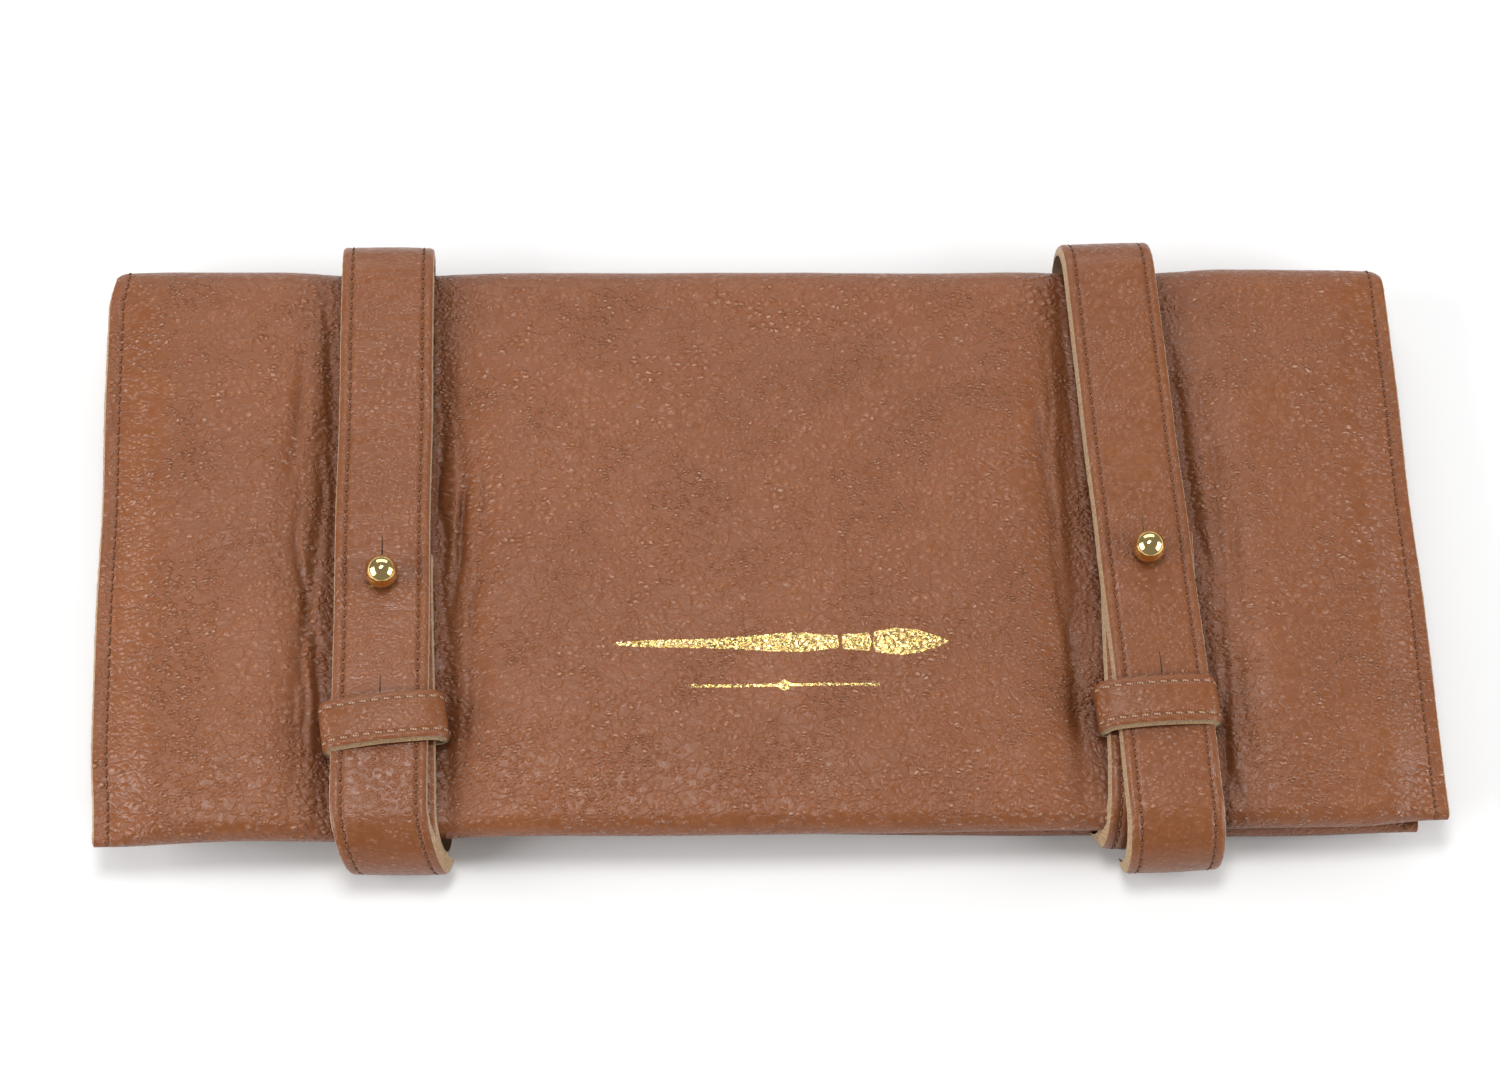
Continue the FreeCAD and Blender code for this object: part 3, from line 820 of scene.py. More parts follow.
# ---------------------------------------------------------------- materials

# Sockets that share their names with others of the same node are picked by number.
COLOUR_A = 6
COLOUR_B = 7
COLOUR_OUT = 2
NOISE_COLOUR = 1


class Graph:
    """A material and short calls for the nodes that this script uses. Sizes are in millimetres."""

    def __init__(self, name):
        self.material = bpy.data.materials.new(name)
        self.material.use_nodes = True
        self.tree = self.material.node_tree
        self.shader = self.tree.nodes["Principled BSDF"]

    def put(self, socket, value):
        if isinstance(value, bpy.types.NodeSocket):
            self.tree.links.new(value, socket)
        elif isinstance(value, (tuple, list)) and len(value) == 3 and socket.type == "RGBA":
            socket.default_value = (*value, 1)
        else:
            socket.default_value = value

    def add(self, kind, output, inputs, **settings):
        """A new node with its settings and inputs. Gives one of its outputs."""
        node = self.tree.nodes.new(kind)
        for key, value in settings.items():
            setattr(node, key, value)
        for key, value in inputs.items():
            self.put(node.inputs[key], value)
        return node.outputs[output]

    def place(self):
        return self.add("ShaderNodeAttribute", "Vector", {}, attribute_name="flat", attribute_type="GEOMETRY")

    def math(self, operation, a, b=0.0):
        return self.add("ShaderNodeMath", 0, {0: a, 1: b}, operation=operation)

    def vector(self, operation, a, b):
        return self.add("ShaderNodeVectorMath", 0, {0: a, 1: b}, operation=operation)

    def scaled(self, place, by):
        return self.vector("MULTIPLY", place, by)

    def parts(self, place):
        node = self.tree.nodes.new("ShaderNodeSeparateXYZ")
        self.put(node.inputs[0], place)
        return node.outputs

    def noise(self, place, size, detail=2.0, roughness=0.5, output=0):
        inputs = {"Vector": place, "Scale": 1000 / size, "Detail": detail, "Roughness": roughness}
        return self.add("ShaderNodeTexNoise", output, inputs)

    def cells(self, place, size, feature="DISTANCE_TO_EDGE"):
        inputs = {"Vector": place, "Scale": 1000 / size, "Randomness": 1.0}
        return self.add("ShaderNodeTexVoronoi", "Distance", inputs, feature=feature)

    def ramp(self, value, low, high, to_low=0.0, to_high=1.0):
        """A smooth step: to_low where value is low, to_high where it is high."""
        inputs = {"Value": value, "From Min": low, "From Max": high, "To Min": to_low, "To Max": to_high}
        return self.add("ShaderNodeMapRange", "Result", inputs, interpolation_type="SMOOTHSTEP")

    def mix(self, share, a, b):
        inputs = {"Factor": share, COLOUR_A: a, COLOUR_B: b}
        return self.add("ShaderNodeMix", COLOUR_OUT, inputs, data_type="RGBA", blend_type="MIX")

    def bump(self, height, distance):
        inputs = {"Height": height, "Distance": distance * MM, "Strength": 1.0}
        return self.add("ShaderNodeBump", "Normal", inputs)

    def finish(self, **sockets):
        """Sets or links the shader's own sockets."""
        for key, value in sockets.items():
            self.put(self.shader.inputs[key.replace("_", " ")], value)
        return self.material


TAN = (0.222, 0.073, 0.0235)
# Painted highlight: the pale glint flecks on pebble tops.
TAN_PAINTED_GLINT = (0.50, 0.31, 0.23)
# Painted shade: the dark colour of creases, wrinkles and hollows.
TAN_PAINTED_SHADE = (0.100, 0.028, 0.009)
TAN_PALE = (0.350, 0.150, 0.078)
CREAM = (0.47, 0.315, 0.170)
CREAM_DEEP = (0.25, 0.145, 0.070)
GOLD = (0.83, 0.55, 0.17)
GOLD_PALE = (0.93, 0.70, 0.30)
# How far the ambient occlusion reaches for the painted shade in hollows.
PAINTED_SHADE_REACH = 0.016
# Painted shade on the thread where it goes into its hole.
THREAD_HOLE_SHADE = (0.028, 0.009, 0.004)


def domes(g, place, size):
    """Rounded pebbles about size apart, from 0 in the creases to 1 on their tops."""
    dome = g.ramp(g.cells(place, size, "F1"), 0.66, 0.04)
    crease = g.ramp(g.cells(place, size), 0.0, 0.13, 0.25, 1.0)
    return g.math("MULTIPLY", dome, crease)


def pebbled(g, place, size):
    """Heights of a pebbled grain, large in some patches and small in others, and its wandering."""
    warp = g.vector("SUBTRACT", g.noise(place, 3.4, 2, output=NOISE_COLOUR), (0.5, 0.5, 0.5))
    moved = g.vector("ADD", place, g.scaled(warp, (0.0016, 0.0016, 0.0016)))
    wide = g.scaled(moved, (1.0, 1.25, 0.0))
    patch = g.ramp(g.noise(place, 30, 2), 0.42, 0.60)
    blend = g.math("ADD", g.math("MULTIPLY", domes(g, wide, size * 1.3), patch),
                   g.math("MULTIPLY", domes(g, wide, size * 0.85), g.math("SUBTRACT", 1.0, patch)))
    return blend, moved


def grain_material(name, pebble, depth, glint_amount, tone=1.0, foil=False, lengthwise=False):
    """Tan grain leather: pebbles with painted shade in the creases between them, painted highlight flecks on
    their tops, and painted shade in the hollows.
    """
    g = Graph(name)
    place = g.place()
    pebbles, moved = pebbled(g, place, pebble)
    fine = g.noise(moved, 0.7, 3, 0.6)
    wrinkle_place = g.scaled(moved, (0.35, 1.6, 1.0) if lengthwise else (0.8, 1.25, 1.0))
    wrinkles = g.ramp(g.cells(wrinkle_place, 5.2), 0.0, 0.06)
    fade = g.ramp(g.noise(place, 19, 2), 0.36, 0.60, 0.30, 1.0)
    height = g.math("MULTIPLY", pebbles, fade)
    height = g.math("ADD", height, g.math("MULTIPLY", fine, 0.22))
    height = g.math("ADD", height, g.math("MULTIPLY", wrinkles, 0.16))
    broad = g.noise(place, 55, 3, 0.55)
    spots = g.noise(moved, 6.5, 3, 0.6)
    plain = tuple(c * tone for c in TAN)
    colour = g.mix(g.ramp(broad, 0.35, 0.68), plain, tuple(c * 1.10 for c in plain))
    colour = g.mix(g.ramp(spots, 0.52, 0.80, 0.0, 0.22), colour, TAN_PALE)
    # Painted shade: darker in the creases between pebbles and in the wrinkles.
    colour = g.mix(g.ramp(pebbles, 0.0, 0.42, 0.20, 0.0), colour, TAN_PAINTED_SHADE)
    colour = g.mix(g.ramp(wrinkles, 0.0, 1.0, 0.10, 0.0), colour, TAN_PAINTED_SHADE)
    # Painted highlight: pale flecks in slanted strokes on the pebble tops, standing in for glints.
    slant = {"Vector": moved, "Rotation": (0, 0, 0.62), "Scale": (0.60, 1.6, 1)}
    streaks = g.noise(g.add("ShaderNodeMapping", "Vector", slant), 1.0, 1.5, 0.5)
    painted_glints = g.math("MULTIPLY", g.ramp(streaks, 0.52, 0.62), g.ramp(pebbles, 0.40, 0.70, 0.0, glint_amount))
    patches = g.math("MULTIPLY", fade, g.ramp(spots, 0.30, 0.60, 0.45, 1.0))
    colour = g.mix(g.math("MULTIPLY", painted_glints, patches), colour, TAN_PAINTED_GLINT)
    # Painted shade: the colour darkens where the ambient occlusion node finds hollows and nearby parts.
    painted_shade_ao = g.add("ShaderNodeAmbientOcclusion", "AO", {"Distance": PAINTED_SHADE_REACH}, samples=8)
    colour = g.mix(g.ramp(painted_shade_ao, 0.40, 0.95, 0.78, 0.0), colour, TAN_PAINTED_SHADE)
    rough = g.ramp(g.noise(moved, 2.2, 2), 0.3, 0.7, 0.27, 0.44)
    if foil:
        mask = foil_mask(g, place, moved, pebbles)
        shine = g.mix(g.ramp(g.noise(place, 2.4, 2), 0.3, 0.7), GOLD, GOLD_PALE)
        colour = g.mix(mask, colour, shine)
        rough = g.math("SUBTRACT", rough, g.math("MULTIPLY", mask, 0.14))
        g.finish(Metallic=mask)
    return g.finish(Base_Color=colour, Roughness=rough, Normal=g.bump(height, depth), Specular_IOR_Level=0.42)


FOIL_MIDDLE = (2.0, 93.0)
FOIL_HALF = 46.0
# A brush from the tip of its handle to the tip of its hair: (share of its length, half its width).
HANDLE = [(0.0, 0.0), (0.004, 0.10), (0.10, 0.22), (0.30, 0.30), (0.46, 0.52), (0.56, 0.60), (0.64, 0.42),
          (0.665, 0.40), (0.668, 0.0)]
FERRULE = [(0.676, 0.0), (0.679, 0.44), (0.76, 0.56), (0.763, 0.0)]
HAIR = [(0.771, 0.0), (0.774, 0.60), (0.84, 0.82), (0.90, 0.72), (0.96, 0.36), (1.0, 0.0)]
BRUSH_OUTLINE = HANDLE + FERRULE + HAIR


def foil_mask(g, place, moved, pebbles):
    """1 where the gold foil is: a plain paintbrush over a thin rule, with foil missing in the creases."""
    x, s, _ = g.parts(g.vector("SUBTRACT", place, (FOIL_MIDDLE[0] * MM, FOIL_MIDDLE[1] * MM, 0)))
    ragged = g.math("MULTIPLY", g.math("SUBTRACT", g.noise(place, 1.4, 2), 0.5), 0.0004)
    along = g.math("DIVIDE", g.math("ADD", x, FOIL_HALF * MM), 2 * FOIL_HALF * MM)
    node = g.tree.nodes.new("ShaderNodeFloatCurve")
    g.put(node.inputs["Value"], along)
    curve = node.mapping.curves[0]
    curve.points[0].location = BRUSH_OUTLINE[0]
    curve.points[1].location = BRUSH_OUTLINE[-1]
    for spot in BRUSH_OUTLINE[1:-1]:
        curve.points.new(*spot)
    for point in curve.points:
        point.handle_type = "VECTOR"
    node.mapping.update()
    half = g.math("MULTIPLY", node.outputs[0], 0.0050)
    inside = g.math("SUBTRACT", g.math("ADD", half, ragged), g.math("ABSOLUTE", s))
    brush = g.math("GREATER_THAN", inside, 0.00008)
    below = g.math("ABSOLUTE", g.math("SUBTRACT", s, 0.0125))
    rule = g.math("MULTIPLY", g.math("LESS_THAN", g.math("ADD", below, ragged), 0.00042),
                  g.math("LESS_THAN", g.math("ABSOLUTE", x), 0.026))
    gem = g.math("LESS_THAN", g.math("ADD", g.math("MULTIPLY", g.math("ABSOLUTE", x), 0.6), below), 0.0017)
    shape = g.math("MAXIMUM", brush, g.math("MAXIMUM", rule, gem))
    kept = g.ramp(g.math("ADD", pebbles, g.math("MULTIPLY", g.noise(moved, 0.8, 2), 1.1)), 0.42, 0.62)
    return g.math("MULTIPLY", shape, kept)


def raw_material(name, pale, deep):
    """Cut leather: loose pale fibres."""
    g = Graph(name)
    place = g.place()
    fibre = g.noise(g.scaled(place, (1.0, 1.0, 0.45)), 0.35, 3, 0.7)
    clump = g.noise(place, 1.9, 3, 0.6)
    colour = g.mix(g.ramp(fibre, 0.32, 0.68), deep, pale)
    colour = g.mix(g.ramp(clump, 0.50, 0.78, 0.0, 0.45), colour, deep)
    height = g.math("ADD", fibre, g.math("MULTIPLY", clump, 0.7))
    return g.finish(Base_Color=colour, Normal=g.bump(height, 0.22), Roughness=0.92, Specular_IOR_Level=0.15,
                    Sheen_Weight=0.25)


def thread_material(name, deep, pale, hole_shade):
    """Twisted thread, with painted shade where each stitch goes into its hole."""
    g = Graph(name)
    x, s, share = g.parts(g.place())
    twist = g.math("SINE", g.math("ADD", g.math("MULTIPLY", s, 9500.0), g.math("MULTIPLY", x, 2800.0)))
    from_middle = g.math("ABSOLUTE", g.math("SUBTRACT", g.math("MULTIPLY", share, 2.0), 1.0))
    middle = g.math("SUBTRACT", 1.0, from_middle)
    colour = g.mix(g.ramp(twist, -1.0, 1.0), deep, pale)
    # Painted shade: the thread darkens towards each end, where it goes into its hole.
    colour = g.mix(g.ramp(middle, 0.10 + hole_shade, 0.55 + hole_shade, 0.95, 0.0), colour, THREAD_HOLE_SHADE)
    return g.finish(Base_Color=colour, Normal=g.bump(twist, 0.07), Roughness=0.75, Specular_IOR_Level=0.2)


def brass_material():
    """Polished brass with faint rubbing marks and a little tarnish."""
    g = Graph("polished_brass")
    place = g.place()
    marks = g.noise(g.scaled(place, (1.0, 1.0, 6.0)), 0.9, 3, 0.6)
    stain = g.noise(place, 3.5, 2)
    colour = g.mix(g.ramp(stain, 0.45, 0.75, 0.0, 0.35), (0.90, 0.66, 0.27), (0.70, 0.44, 0.15))
    rough = g.ramp(marks, 0.35, 0.75, 0.055, 0.15)
    return g.finish(Base_Color=colour, Roughness=rough, Normal=g.bump(marks, 0.008), Metallic=1.0)


def floor_material():
    g = Graph("studio_floor")
    place = g.add("ShaderNodeTexCoord", "Object", {})
    tone = g.mix(g.noise(place, 90, 2), (0.88, 0.88, 0.88), (0.85, 0.85, 0.85))
    return g.finish(Base_Color=tone, Roughness=0.8, Specular_IOR_Level=0.1)


# ---------------------------------------------------------------- the case

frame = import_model()

FRONT_GRAIN = grain_material("case_leather_front", 1.9, 0.52, 0.72, foil=True)
CASE_GRAIN = grain_material("case_leather", 1.9, 0.52, 0.72)
STRAP_GRAIN = grain_material("strap_leather", 1.5, 0.22, 0.38, tone=0.95, lengthwise=True)
RAW_EDGE = raw_material("raw_edge", CREAM, CREAM_DEEP)
FLESH = raw_material("flesh_side", (0.50, 0.32, 0.185), (0.36, 0.215, 0.12))
LINING = raw_material("lining_suede", (0.44, 0.27, 0.15), (0.30, 0.17, 0.09))
THREAD_LOOK = thread_material("brown_thread", (0.10, 0.034, 0.014), (0.27, 0.115, 0.055), 0.10)
PALE_THREAD = thread_material("pale_thread", (0.24, 0.115, 0.060), (0.56, 0.36, 0.24), 0.0)
BRASS = brass_material()
CASE_LOOKS = [CASE_GRAIN, RAW_EDGE, FLESH]
STRAP_LOOKS = [STRAP_GRAIN, RAW_EDGE, FLESH]


def column_gap(x):
    """Columns stand close at the seams and beside the straps, and further apart elsewhere."""
    if edge_room(x) < 7:
        return 0.55
    away = min(abs(abs(x - LAYOUT[side]["tail"]) - (STRAP_HALF + 5)) for side in SIDES)
    return 0.8 if away < 10 else 2.2


columns = steps(-HALF_LENGTH, HALF_LENGTH, column_gap)


def skin_grid(surface, q):
    """A skin of the case at every column and at rows q."""
    return surface(columns[None, :] + 0 * q[:, None], q[:, None] + 0 * columns[None, :])


def flat_places(along):
    """Places on the flat hide: across as the columns, along as the skin runs."""
    return np.stack([0 * along + columns[None, :], along], -1)


def side_flare(grid):
    """The flesh side of the front leather reaches a little past its grain at the cut sides."""
    reach = SIDE_FLARE * np.sign(columns) * smooth(1 - edge_room(columns) / 1.4)
    return reach[None, :, None] * np.array([1.0, 0.0, 0.0]) * np.ones(grid.shape)


spine_rows = rows_of((12, 34, 14))
front_grid = skin_grid(front_skin, rows_of((112, 16, 50)))
spine_grid = skin_grid(spine_skin, spine_rows)
back_grid = skin_grid(back_skin, rows_of((18, 14, 66)))

# The three skins are one hide: each starts on it where its neighbour ends.
spine_travel = travel(spine_grid)
spine_travel = spine_travel - spine_travel[-1]
back_travel = travel(back_grid)
back_travel = back_travel - back_travel[-1] + spine_travel[0]

bent_rows = smooth((spine_rows - 0.95) / 0.2) * smooth((2.05 - spine_rows) / 0.2)
pared = bent_rows[:, None] * smooth((edge_room(columns) - 4) / 6)[None, :]

front = leather("case_front_leather", front_grid, SKIN, flat_places(travel(front_grid)),
                [FRONT_GRAIN, RAW_EDGE, FLESH], flare=side_flare(front_grid), seed=21)
spine = leather("case_spine_leather", spine_grid, SKIN - BEND_PARING * pared, flat_places(spine_travel),
                CASE_LOOKS, flare=side_flare(spine_grid), seed=22)
back = leather("case_back_leather", back_grid, SKIN, flat_places(back_travel), CASE_LOOKS, seed=23)

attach(front, "front_leaf")
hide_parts("front_panel")
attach(back, "back_leaf")
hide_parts("back_panel")
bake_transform(spine)
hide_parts("spine_fold")

for side, sign in (("left", -1), ("right", 1)):
    across = sign * (HALF_LENGTH - SEAM_INSET)
    seam = stitch_piece(f"front_seam_{side}_thread",
                        [line_on(front_skin, across, 0.0, 1.62), line_on(front_skin, across, 1.66, 2.98)],
                        THREAD_LOOK)
    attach(seam, "front_leaf")
    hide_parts(f"front_seam_{side}")
    seam_back = stitch_piece(f"back_seam_{side}_thread",
                             [line_on(back_skin, across, 0.02, 1.5), line_on(back_skin, across, 1.52, 3.0)],
                             THREAD_LOOK)
    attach(seam_back, "back_leaf")
    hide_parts(f"back_seam_{side}")
    seam_spine = stitch_piece(f"spine_seam_{side}_thread", [line_on(spine_skin, across, 0.0, 3.0)],
                              THREAD_LOOK, trim=0.05)
    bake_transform(seam_spine)

# ---------------------------------------------------------------- the straps


def strap_gap(u):
    """Columns stand close at the buttonholes and the seams."""
    return 0.45 if u > 8.6 or u < 2.5 else 0.8


HALF_COLUMNS = steps(0.0, STRAP_HALF, strap_gap)


def strap_columns(parted):
    """Places across a strap. A parted strap has its middle line twice."""
    right = HALF_COLUMNS if parted else HALF_COLUMNS[1:]
    return np.concatenate([-HALF_COLUMNS[::-1], right])


def hole_half(v, centres):
    """Half the width of the buttonholes along the tail: a round hole and a slit towards the spine."""
    half = np.zeros(v.shape)
    for centre in centres:
        away = v - centre
        inside = np.abs(away) < BUTTONHOLE_RADIUS
        round_half = np.sqrt(np.clip(BUTTONHOLE_RADIUS ** 2 - away ** 2, 0, None))
        half = np.where(inside, round_half, half)
        slit = (away >= 0) & (away < SLIT_REACH)
        slit_half = SLIT_HALF * np.sqrt(np.clip(1 - away / SLIT_REACH, 0, 1))
        half = np.where(slit, np.maximum(half, slit_half), half)
    return half


def strap_piece(name, surface, q, flare_right, flare_left, seed, buttonholes=None, paring=0.0):
    """A strap layer. flare says how much wider its flesh side is at each row, on either edge.

    paring says how much thinner the middle of the strap is at each row.
    """
    u = strap_columns(buttonholes is not None)
    across = np.broadcast_to(u, (len(q), len(u)))
    rows = q[:, None] + 0 * across
    along = travel(surface(across, rows))
    split = None
    opening = None
    if buttonholes is not None:
        split = len(HALF_COLUMNS) - 1
        opening = buttonholes > 0
        push = buttonholes[:, None] * np.exp(-np.abs(across) / 3.0)
        across = across + push * np.where(np.arange(len(u)) <= split, -1, 1)
    grid = surface(across, rows)
    side_way = np.gradient(grid, axis=1)
    side_way[:, split or 0] = side_way[:, 1]
    side_way /= np.maximum(np.linalg.norm(side_way, axis=-1, keepdims=True), 1e-9)
    right = smooth((u - 11.0) / 1.7)
    left = smooth((-u - 11.0) / 1.7)
    widen = flare_right[:, None] * right - flare_left[:, None] * left
    flat = np.stack([across, along + 400.0 * (seed % 7)], -1)
    pared = np.broadcast_to(paring, q.shape)[:, None] * smooth((11.5 - np.abs(u)) / 2.5)
    return leather(name, grid, STRAP_SKIN - pared, flat, STRAP_LOOKS, split, opening,
                   flare=side_way * widen[..., None], even=True, seed=seed)


def tail_flares(side, q):
    """How much wider the tail's flesh side is than its grain on the right and on the left."""
    low = smooth(q - 1.95)
    fade = 1 - smooth((q - 2.72) / 0.26)
    if side == "left":
        return 0.35 + 2.6 * low * fade, 0.2 + 0.2 * low
    return 0.6 + 0 * low, 0.75 + 0.5 * low * fade


def end_flares(side, q):
    """The same for the stud end."""
    curl = smooth(q - 0.95)
    if side == "left":
        return 0.6 + 1.6 * curl, 0.2 + 0 * q
    return 0.4 + 0 * q, 0.7 + 2.9 * curl


def strap_seams(surface, low, high, samples=1600):
    """Both lines of stitches along a strap."""
    return [line_on(surface, sign * STRAP_SEAM, low, high, samples) for sign in (-1, 1)]


for side in SIDES:
    at = LAYOUT[side]
    number = SIDES.index(side)

    run_surface = strap_surface(side, "run", run_path(side), run_frame(side), 80 + number)
    q = rows_of((110,))
    run = strap_piece(f"{side}_run_leather", run_surface, q, 0.5 + 0 * q, 0.5 + 0 * q, 31 + number)
    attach(run, "back_leaf")
    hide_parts(f"{side}_strap_run")
    run_seam = stitch_piece(f"{side}_run_thread", strap_seams(run_surface, 0.0, 1.0), THREAD_LOOK)
    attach(run_seam, "back_leaf")

    tail_surface = strap_surface(side, "tail", tail_path(side), tail_frame(side), 84 + number)
    q = rows_of((36, 300, 44))
    v = along_to(at["top_bend"], at["low_bend"], np.clip(q - 1, 0, 1))
    half = hole_half(v, (at["stud"], at["stud"] - BUTTONHOLE_PITCH))
    tail = strap_piece(f"{side}_tail_leather", tail_surface, q, *tail_flares(side, q), 41 + number, half,
                       paring=STRAP_PARING * smooth(q / 0.15) * smooth((1 - q) / 0.15))
    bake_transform(tail)
    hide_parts(f"{side}_strap_tail")
    tail_seam = stitch_piece(f"{side}_tail_thread", strap_seams(tail_surface, 0.0, 2.97, 3000), THREAD_LOOK)
    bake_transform(tail_seam)
    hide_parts(f"{side}_tail_stitching")

    end_surface = strap_surface(side, "end", end_path(side), end_frame(side), 88 + number)
    q = rows_of((90, 40))
    end = strap_piece(f"{side}_end_leather", end_surface, q, *end_flares(side, q), 51 + number)
    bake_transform(end)
    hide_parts(f"{side}_stud_end")
    end_seam = stitch_piece(f"{side}_end_thread", strap_seams(end_surface, 0.03, 2.0, 3000), THREAD_LOOK)
    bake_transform(end_seam)
    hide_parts(f"{side}_stud_end_stitching")

# ---------------------------------------------------------------- keepers

KEEPER_HALF_WIDTH = 6.7
KEEPER_SEAM = 4.7
KEEPER_POINTS = 220
KEEPER_CURVE = 24
KEEPER_ROWS = 200
KEEPER_UNDER = 1.0
KEEPER_TOP_MORE = 0.6
KEEPER_FLARE = 0.6
# The right half of the loop's outer line, (across, height), from the middle of its top to its underside.
KEEPER_HALF = [(0.0, 31.0), (8.0, 30.6), (12.0, 30.15), (14.6, 29.4), (16.2, 27.7), (16.9, 26.0),
               (17.0, 24.4), (16.6, 23.0), (15.2, 22.0), (12.0, 21.75), (4.0, 21.7)]


def keeper_outline():
    """The whole outer line, from the left side over the top."""
    left = [(-across, height) for across, height in KEEPER_HALF]
    return left[6:0:-1] + KEEPER_HALF + left[:6:-1]


def rounded_loop(points, count):
    """A closed smooth line through points, with an even spacing."""
    p = np.array(points)
    t = (np.arange(KEEPER_CURVE) / KEEPER_CURVE)[:, None]
    found = []
    for k in range(len(p)):
        a, b, c, d = (p[(k + step) % len(p)] for step in (-1, 0, 1, 2))
        square = 2 * a - 5 * b + 4 * c - d
        cube = 3 * b - a - 3 * c + d
        found.append(0.5 * (2 * b + (c - a) * t + square * t ** 2 + cube * t ** 3))
    found = np.vstack(found + [found[0][:1]])
    away = np.concatenate([[0], np.cumsum(np.linalg.norm(np.diff(found, axis=0), axis=1))])
    at = np.arange(count) / count * away[-1]
    return np.stack([np.interp(at, away, found[:, i]) for i in range(2)], -1), away[-1]


def keeper_surface(side):
    """The outside of a keeper at v along the strap and a share q of the way round."""
    at = LAYOUT[side]
    loop, length = rounded_loop(keeper_outline(), KEEPER_POINTS)
    ahead = np.roll(loop, -1, 0) - np.roll(loop, 1, 0)
    out = np.stack([-ahead[:, 1], ahead[:, 0]], -1)
    out /= np.linalg.norm(out, axis=1, keepdims=True)

    def read(line, q):
        """Both numbers of a closed line at shares q of the way round."""
        at_q = q * KEEPER_POINTS % KEEPER_POINTS
        closed = np.vstack([line, line[:1]])
        return [np.interp(at_q, np.arange(KEEPER_POINTS + 1), closed[:, i]) for i in (0, 1)]

    def surface(v, q):
        v, q = np.broadcast_arrays(np.asarray(v, float), np.asarray(q, float))
        place = read(loop, q)
        way = read(out, q)
        top = smooth((place[1] - 24) / 4)
        groove = 0.30 * hump((np.abs(v) - KEEPER_SEAM) / 0.45) * top
        roll = 0.35 * smooth((np.abs(v) - 5.7) / 1.0) ** 2
        rise = 0.22 * (1 - np.square(v / KEEPER_HALF_WIDTH)) * top - groove - roll
        rise = rise + 0.09 * waver(q * length, v, 6, 95 + len(side)) * top
        wave = 0.35 * np.sin(q * 2 * math.pi + 0.6) * top
        across, height = (place[i] + way[i] * rise for i in (0, 1))
        return turned(across, v + wave, height, *at["keeper"], at["keeper_tilt"])
    return surface


for side in SIDES:
    surface = keeper_surface(side)
    q = np.arange(KEEPER_ROWS) / KEEPER_ROWS
    outer = steps(3.4, KEEPER_HALF_WIDTH, lambda v: 0.35)
    v = np.concatenate([-outer[::-1], np.linspace(-2.8, 2.8, 7), outer])
    grid = surface(v[None, :] + 0 * q[:, None], q[:, None] + 0 * v[None, :])
    thickness = KEEPER_UNDER + KEEPER_TOP_MORE * smooth((grid[..., 2] - 23.0) / 2.5)
    flat = np.stack([travel(grid) + 130.0, v[None, :] + 0 * q[:, None] + 700.0], -1)
    tilt = math.radians(LAYOUT[side]["keeper_tilt"])
    lower = -KEEPER_FLARE * smooth((-v - 5.2) / 1.5)[None, :, None] * smooth((grid[..., 2:] - 24) / 3)
    flare = lower * np.array([-math.sin(tilt), math.cos(tilt), 0.0])
    keeper = leather(f"{side}_keeper_leather", grid, thickness, flat, STRAP_LOOKS, closed=True, flare=flare,
                     even=True, seed=61 + SIDES.index(side))
    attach(keeper, f"{side}_keeper")
    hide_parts(f"{side}_keeper")
    lines = [line_on(surface, sign * KEEPER_SEAM, 0.01, 0.555, 1200) for sign in (-1, 1)]
    thread = stitch_piece(f"{side}_keeper_thread", lines, PALE_THREAD, lift=0.05)
    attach(thread, f"{side}_keeper")
    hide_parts(f"{side}_keeper_stitching")

# ---------------------------------------------------------------- studs, screws and rivets

SMALL_TURNS = 48
BALL_RADIUS = 4.5
BALL_CENTRE = 32.0
NECK_RADIUS = 1.7
# Half outlines, (radius, height), from the bottom up.
STUD_FOOT = [(0, 24.9), (3.6, 24.9), (3.75, 25.05), (3.75, 25.3), (3.5, 25.42), (2.1, 25.5), (1.75, 25.9),
             (NECK_RADIUS, 26.8)]
SCREW = [(0, 22.25), (3.4, 22.25), (3.85, 22.45), (4.0, 22.8), (4.0, 23.0), (1.3, 23.02), (1.3, 28.6),
         (0, 28.7)]
RIVET = [(0, -0.02), (2.6, 0.02), (3.5, 0.2), (3.9, 0.5), (4.0, 0.8), (1.5, 0.82), (1.5, 3.95),
         (3.4, 4.0), (3.5, 4.15), (3.3, 4.6), (2.6, 4.8), (1.6, 4.85), (1.5, 5.05), (0, 5.1)]
# Where a strap's two rivets are along its run.
RIVET_PLACES = {"low": -32.0, "high": 63.0}


def ball_profile():
    """A stud: its foot on the leather, a waisted neck, and the ball."""
    low = math.asin(NECK_RADIUS / BALL_RADIUS)
    turns = np.linspace(-math.pi / 2 + low, math.pi / 2, 40)
    ball = [(BALL_RADIUS * math.cos(t), BALL_CENTRE + BALL_RADIUS * math.sin(t)) for t in turns[:-1]]
    return STUD_FOOT + ball + [(0, BALL_CENTRE + BALL_RADIUS)]


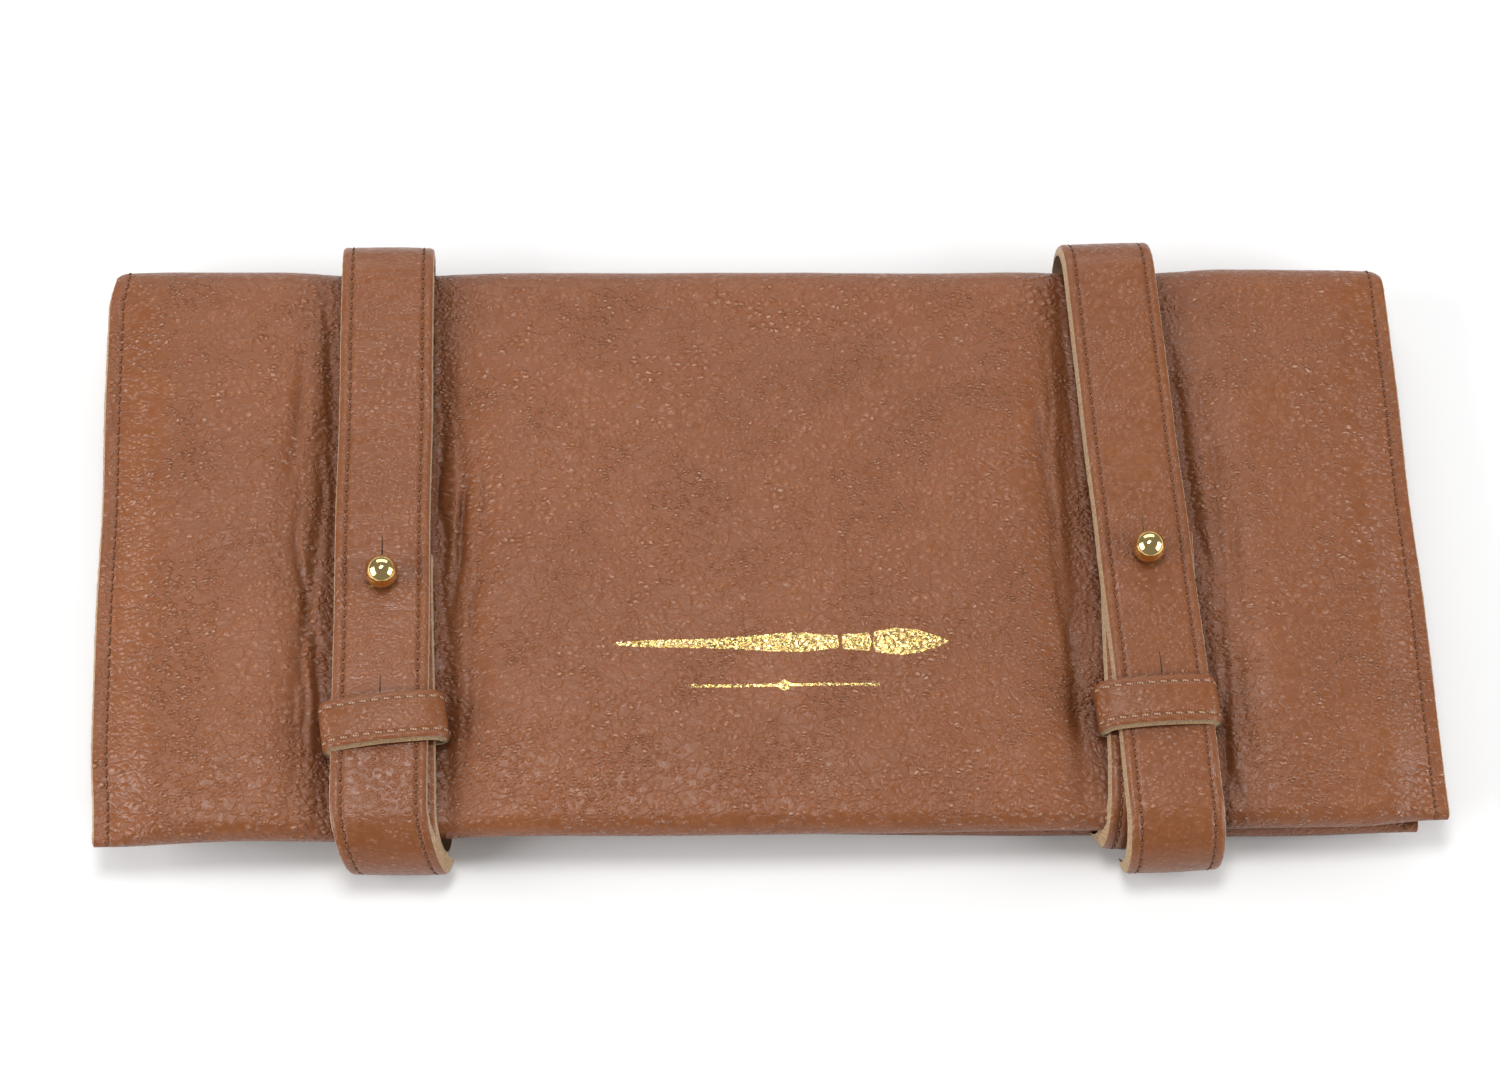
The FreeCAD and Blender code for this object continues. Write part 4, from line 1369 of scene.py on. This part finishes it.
for side in SIDES:
    middle = stud_place(side)
    stud = lathe(f"{side}_stud_brass", ball_profile(), middle, BRASS)
    screw = lathe(f"{side}_screw_brass", SCREW, middle, BRASS, SMALL_TURNS)
    for piece, node in ((stud, "stud"), (screw, "stud_screw")):
        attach(piece, f"{side}_stud_end")
        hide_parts(f"{side}_{node}")

    place, _, tilt = run_frame(side)
    rivets = []
    for which, along in RIVET_PLACES.items():
        head = turned(np.array(0.0), np.array(along), np.array(0.0), place, 0.0, tilt)
        rivets.append(lathe(f"{side}_rivet_{which}", RIVET, head[:2], BRASS, SMALL_TURNS))
    for piece in rivets:
        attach(piece, "back_leaf")
        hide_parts(f"{side}_strap_rivets")

# ---------------------------------------------------------------- brush loops

LOOP_RADIUS = 5.4
LOOP_SKIN = 1.0
LOOP_PITCH = 15.0
LOOP_COUNT = 5
LOOP_FLOOR = 4.05
LOOP_LEATHER = 0.92
LOOP_SEAM_HEIGHT = 5.02
LOOP_SEAM_SAMPLES = 80
FIRST_LOOP = -15.0
BAND_HALF = 15.0
BAND_FOOT = 4


def loop_outline(spacing=0.8):
    """The outer line of a band of loops in the YZ plane, from its far end to its near end."""
    outer = LOOP_RADIUS + LOOP_SKIN
    low = FIRST_LOOP - LOOP_PITCH / 2 - BAND_FOOT
    high = FIRST_LOOP + (LOOP_COUNT - 0.5) * LOOP_PITCH + BAND_FOOT
    y = np.arange(high, low, -0.05)
    z = np.full(y.shape, LOOP_FLOOR + LOOP_SKIN)
    for k in range(LOOP_COUNT):
        away = np.abs(y - (FIRST_LOOP + k * LOOP_PITCH)) / outer
        arch = np.where(away < 1, np.power(np.clip(1 - away ** 2.3, 0, 1), 0.52), 0)
        z = np.maximum(z, LOOP_FLOOR + LOOP_SKIN + (outer - 0.9) * arch)
    line = np.stack([y, z], -1)
    away = np.concatenate([[0], np.cumsum(np.linalg.norm(np.diff(line, axis=0), axis=1))])
    at = np.linspace(0, away[-1], int(away[-1] / spacing))
    return np.stack([np.interp(at, away, line[:, i]) for i in range(2)], -1)


for side in SIDES:
    low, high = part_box(f"{side}_brush_loops")
    middle = (low.x + high.x) / 2 / MM
    outline = loop_outline()
    columns_of_band = np.linspace(-BAND_HALF, BAND_HALF, 32)
    u, y = np.meshgrid(columns_of_band, outline[:, 0])
    z = outline[:, 1:]
    soft = 0.12 * waver(u, y, 7, 101 + len(side))
    grid = np.stack([middle + u, y, z + soft * smooth((z - 5.2) / 2)], -1)
    flat = np.stack([u, travel(grid) + 900], -1)
    band = leather(f"{side}_loops_leather", grid, LOOP_LEATHER, flat, [LINING, RAW_EDGE, LINING],
                   seed=71 + SIDES.index(side), fuzz=0.08)
    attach(band, "back_leaf")
    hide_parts(f"{side}_brush_loops")
    across = middle + np.linspace(-BAND_HALF + 1, BAND_HALF - 1, LOOP_SEAM_SAMPLES)
    lines = []
    for k in range(LOOP_COUNT + 1):
        seam_y = FIRST_LOOP + (k - 0.5) * LOOP_PITCH
        line = np.stack([across, 0 * across + seam_y, 0 * across + LOOP_SEAM_HEIGHT], -1)
        lines.append((line, np.tile([0.0, 0.0, 1.0], (LOOP_SEAM_SAMPLES, 1))))
    thread = stitch_piece(f"{side}_loops_thread", lines, THREAD_LOOK)
    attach(thread, "back_leaf")

# ---------------------------------------------------------------- studio

CAMERA_PLACE = (-80.2, -410.4, 928.0)
CAMERA_ELEVATION = math.radians(65.60)
CAMERA_YAW = math.radians(-4.297)
CAMERA_ROLL = math.radians(-0.4215)
LENS = 86.38
FLOOR_SIZE = 30
FLOOR_HEIGHT = -0.0002
ROOM_LIGHT = 0.24
# Name, place, width, height, power. All of them point at the middle of the case.
LIGHTS = (("front_left", (-1.15, -0.28, 0.55), 1.0, 0.65, 14.5),
          ("front_right", (1.15, -0.28, 0.55), 1.0, 0.65, 11.5),
          ("key_above", (-0.14, 0.12, 1.45), 0.55, 0.3, 8.4),
          ("back_low", (0.0, 1.25, 0.85), 1.6, 0.6, 8))

bpy.ops.mesh.primitive_grid_add(x_subdivisions=4, y_subdivisions=4, size=FLOOR_SIZE,
                                location=(0, 0, FLOOR_HEIGHT))
floor = bpy.context.object
floor.name = "studio_floor"
floor.data.materials.append(floor_material())


def soft_light(name, place, width, height, power):
    light = bpy.data.lights.new(name, "AREA")
    light.shape = "RECTANGLE"
    light.size = width
    light.size_y = height
    light.energy = power
    lamp = bpy.data.objects.new(name, light)
    lamp.location = place
    lamp.rotation_mode = "QUATERNION"
    lamp.rotation_quaternion = (Vector((0, 0, 0)) - Vector(place)).to_track_quat("-Z", "Y")
    bpy.context.scene.collection.objects.link(lamp)


for light_values in LIGHTS:
    soft_light(*light_values)

world = bpy.data.worlds.new("studio_room")
world.use_nodes = True
room = world.node_tree.nodes["Background"].inputs
room["Color"].default_value = (1, 1, 1, 1)
room["Strength"].default_value = ROOM_LIGHT
bpy.context.scene.world = world
bpy.context.scene.view_settings.view_transform = "Standard"

camera_data = bpy.data.cameras.new("camera")
camera_data.sensor_width = 36
camera_data.lens = LENS
camera_data.clip_end = 20
camera = bpy.data.objects.new("camera", camera_data)
sine = math.sin(CAMERA_ELEVATION)
cosine = math.cos(CAMERA_ELEVATION)
level = Matrix(((1, 0, 0), (0, sine, -cosine), (0, cosine, sine)))
turn = level @ Matrix.Rotation(CAMERA_YAW, 3, "Y") @ Matrix.Rotation(CAMERA_ROLL, 3, "Z")
camera.matrix_world = Matrix.Translation(Vector(CAMERA_PLACE) * MM) @ turn.to_4x4()
bpy.context.scene.collection.objects.link(camera)
bpy.context.scene.camera = camera
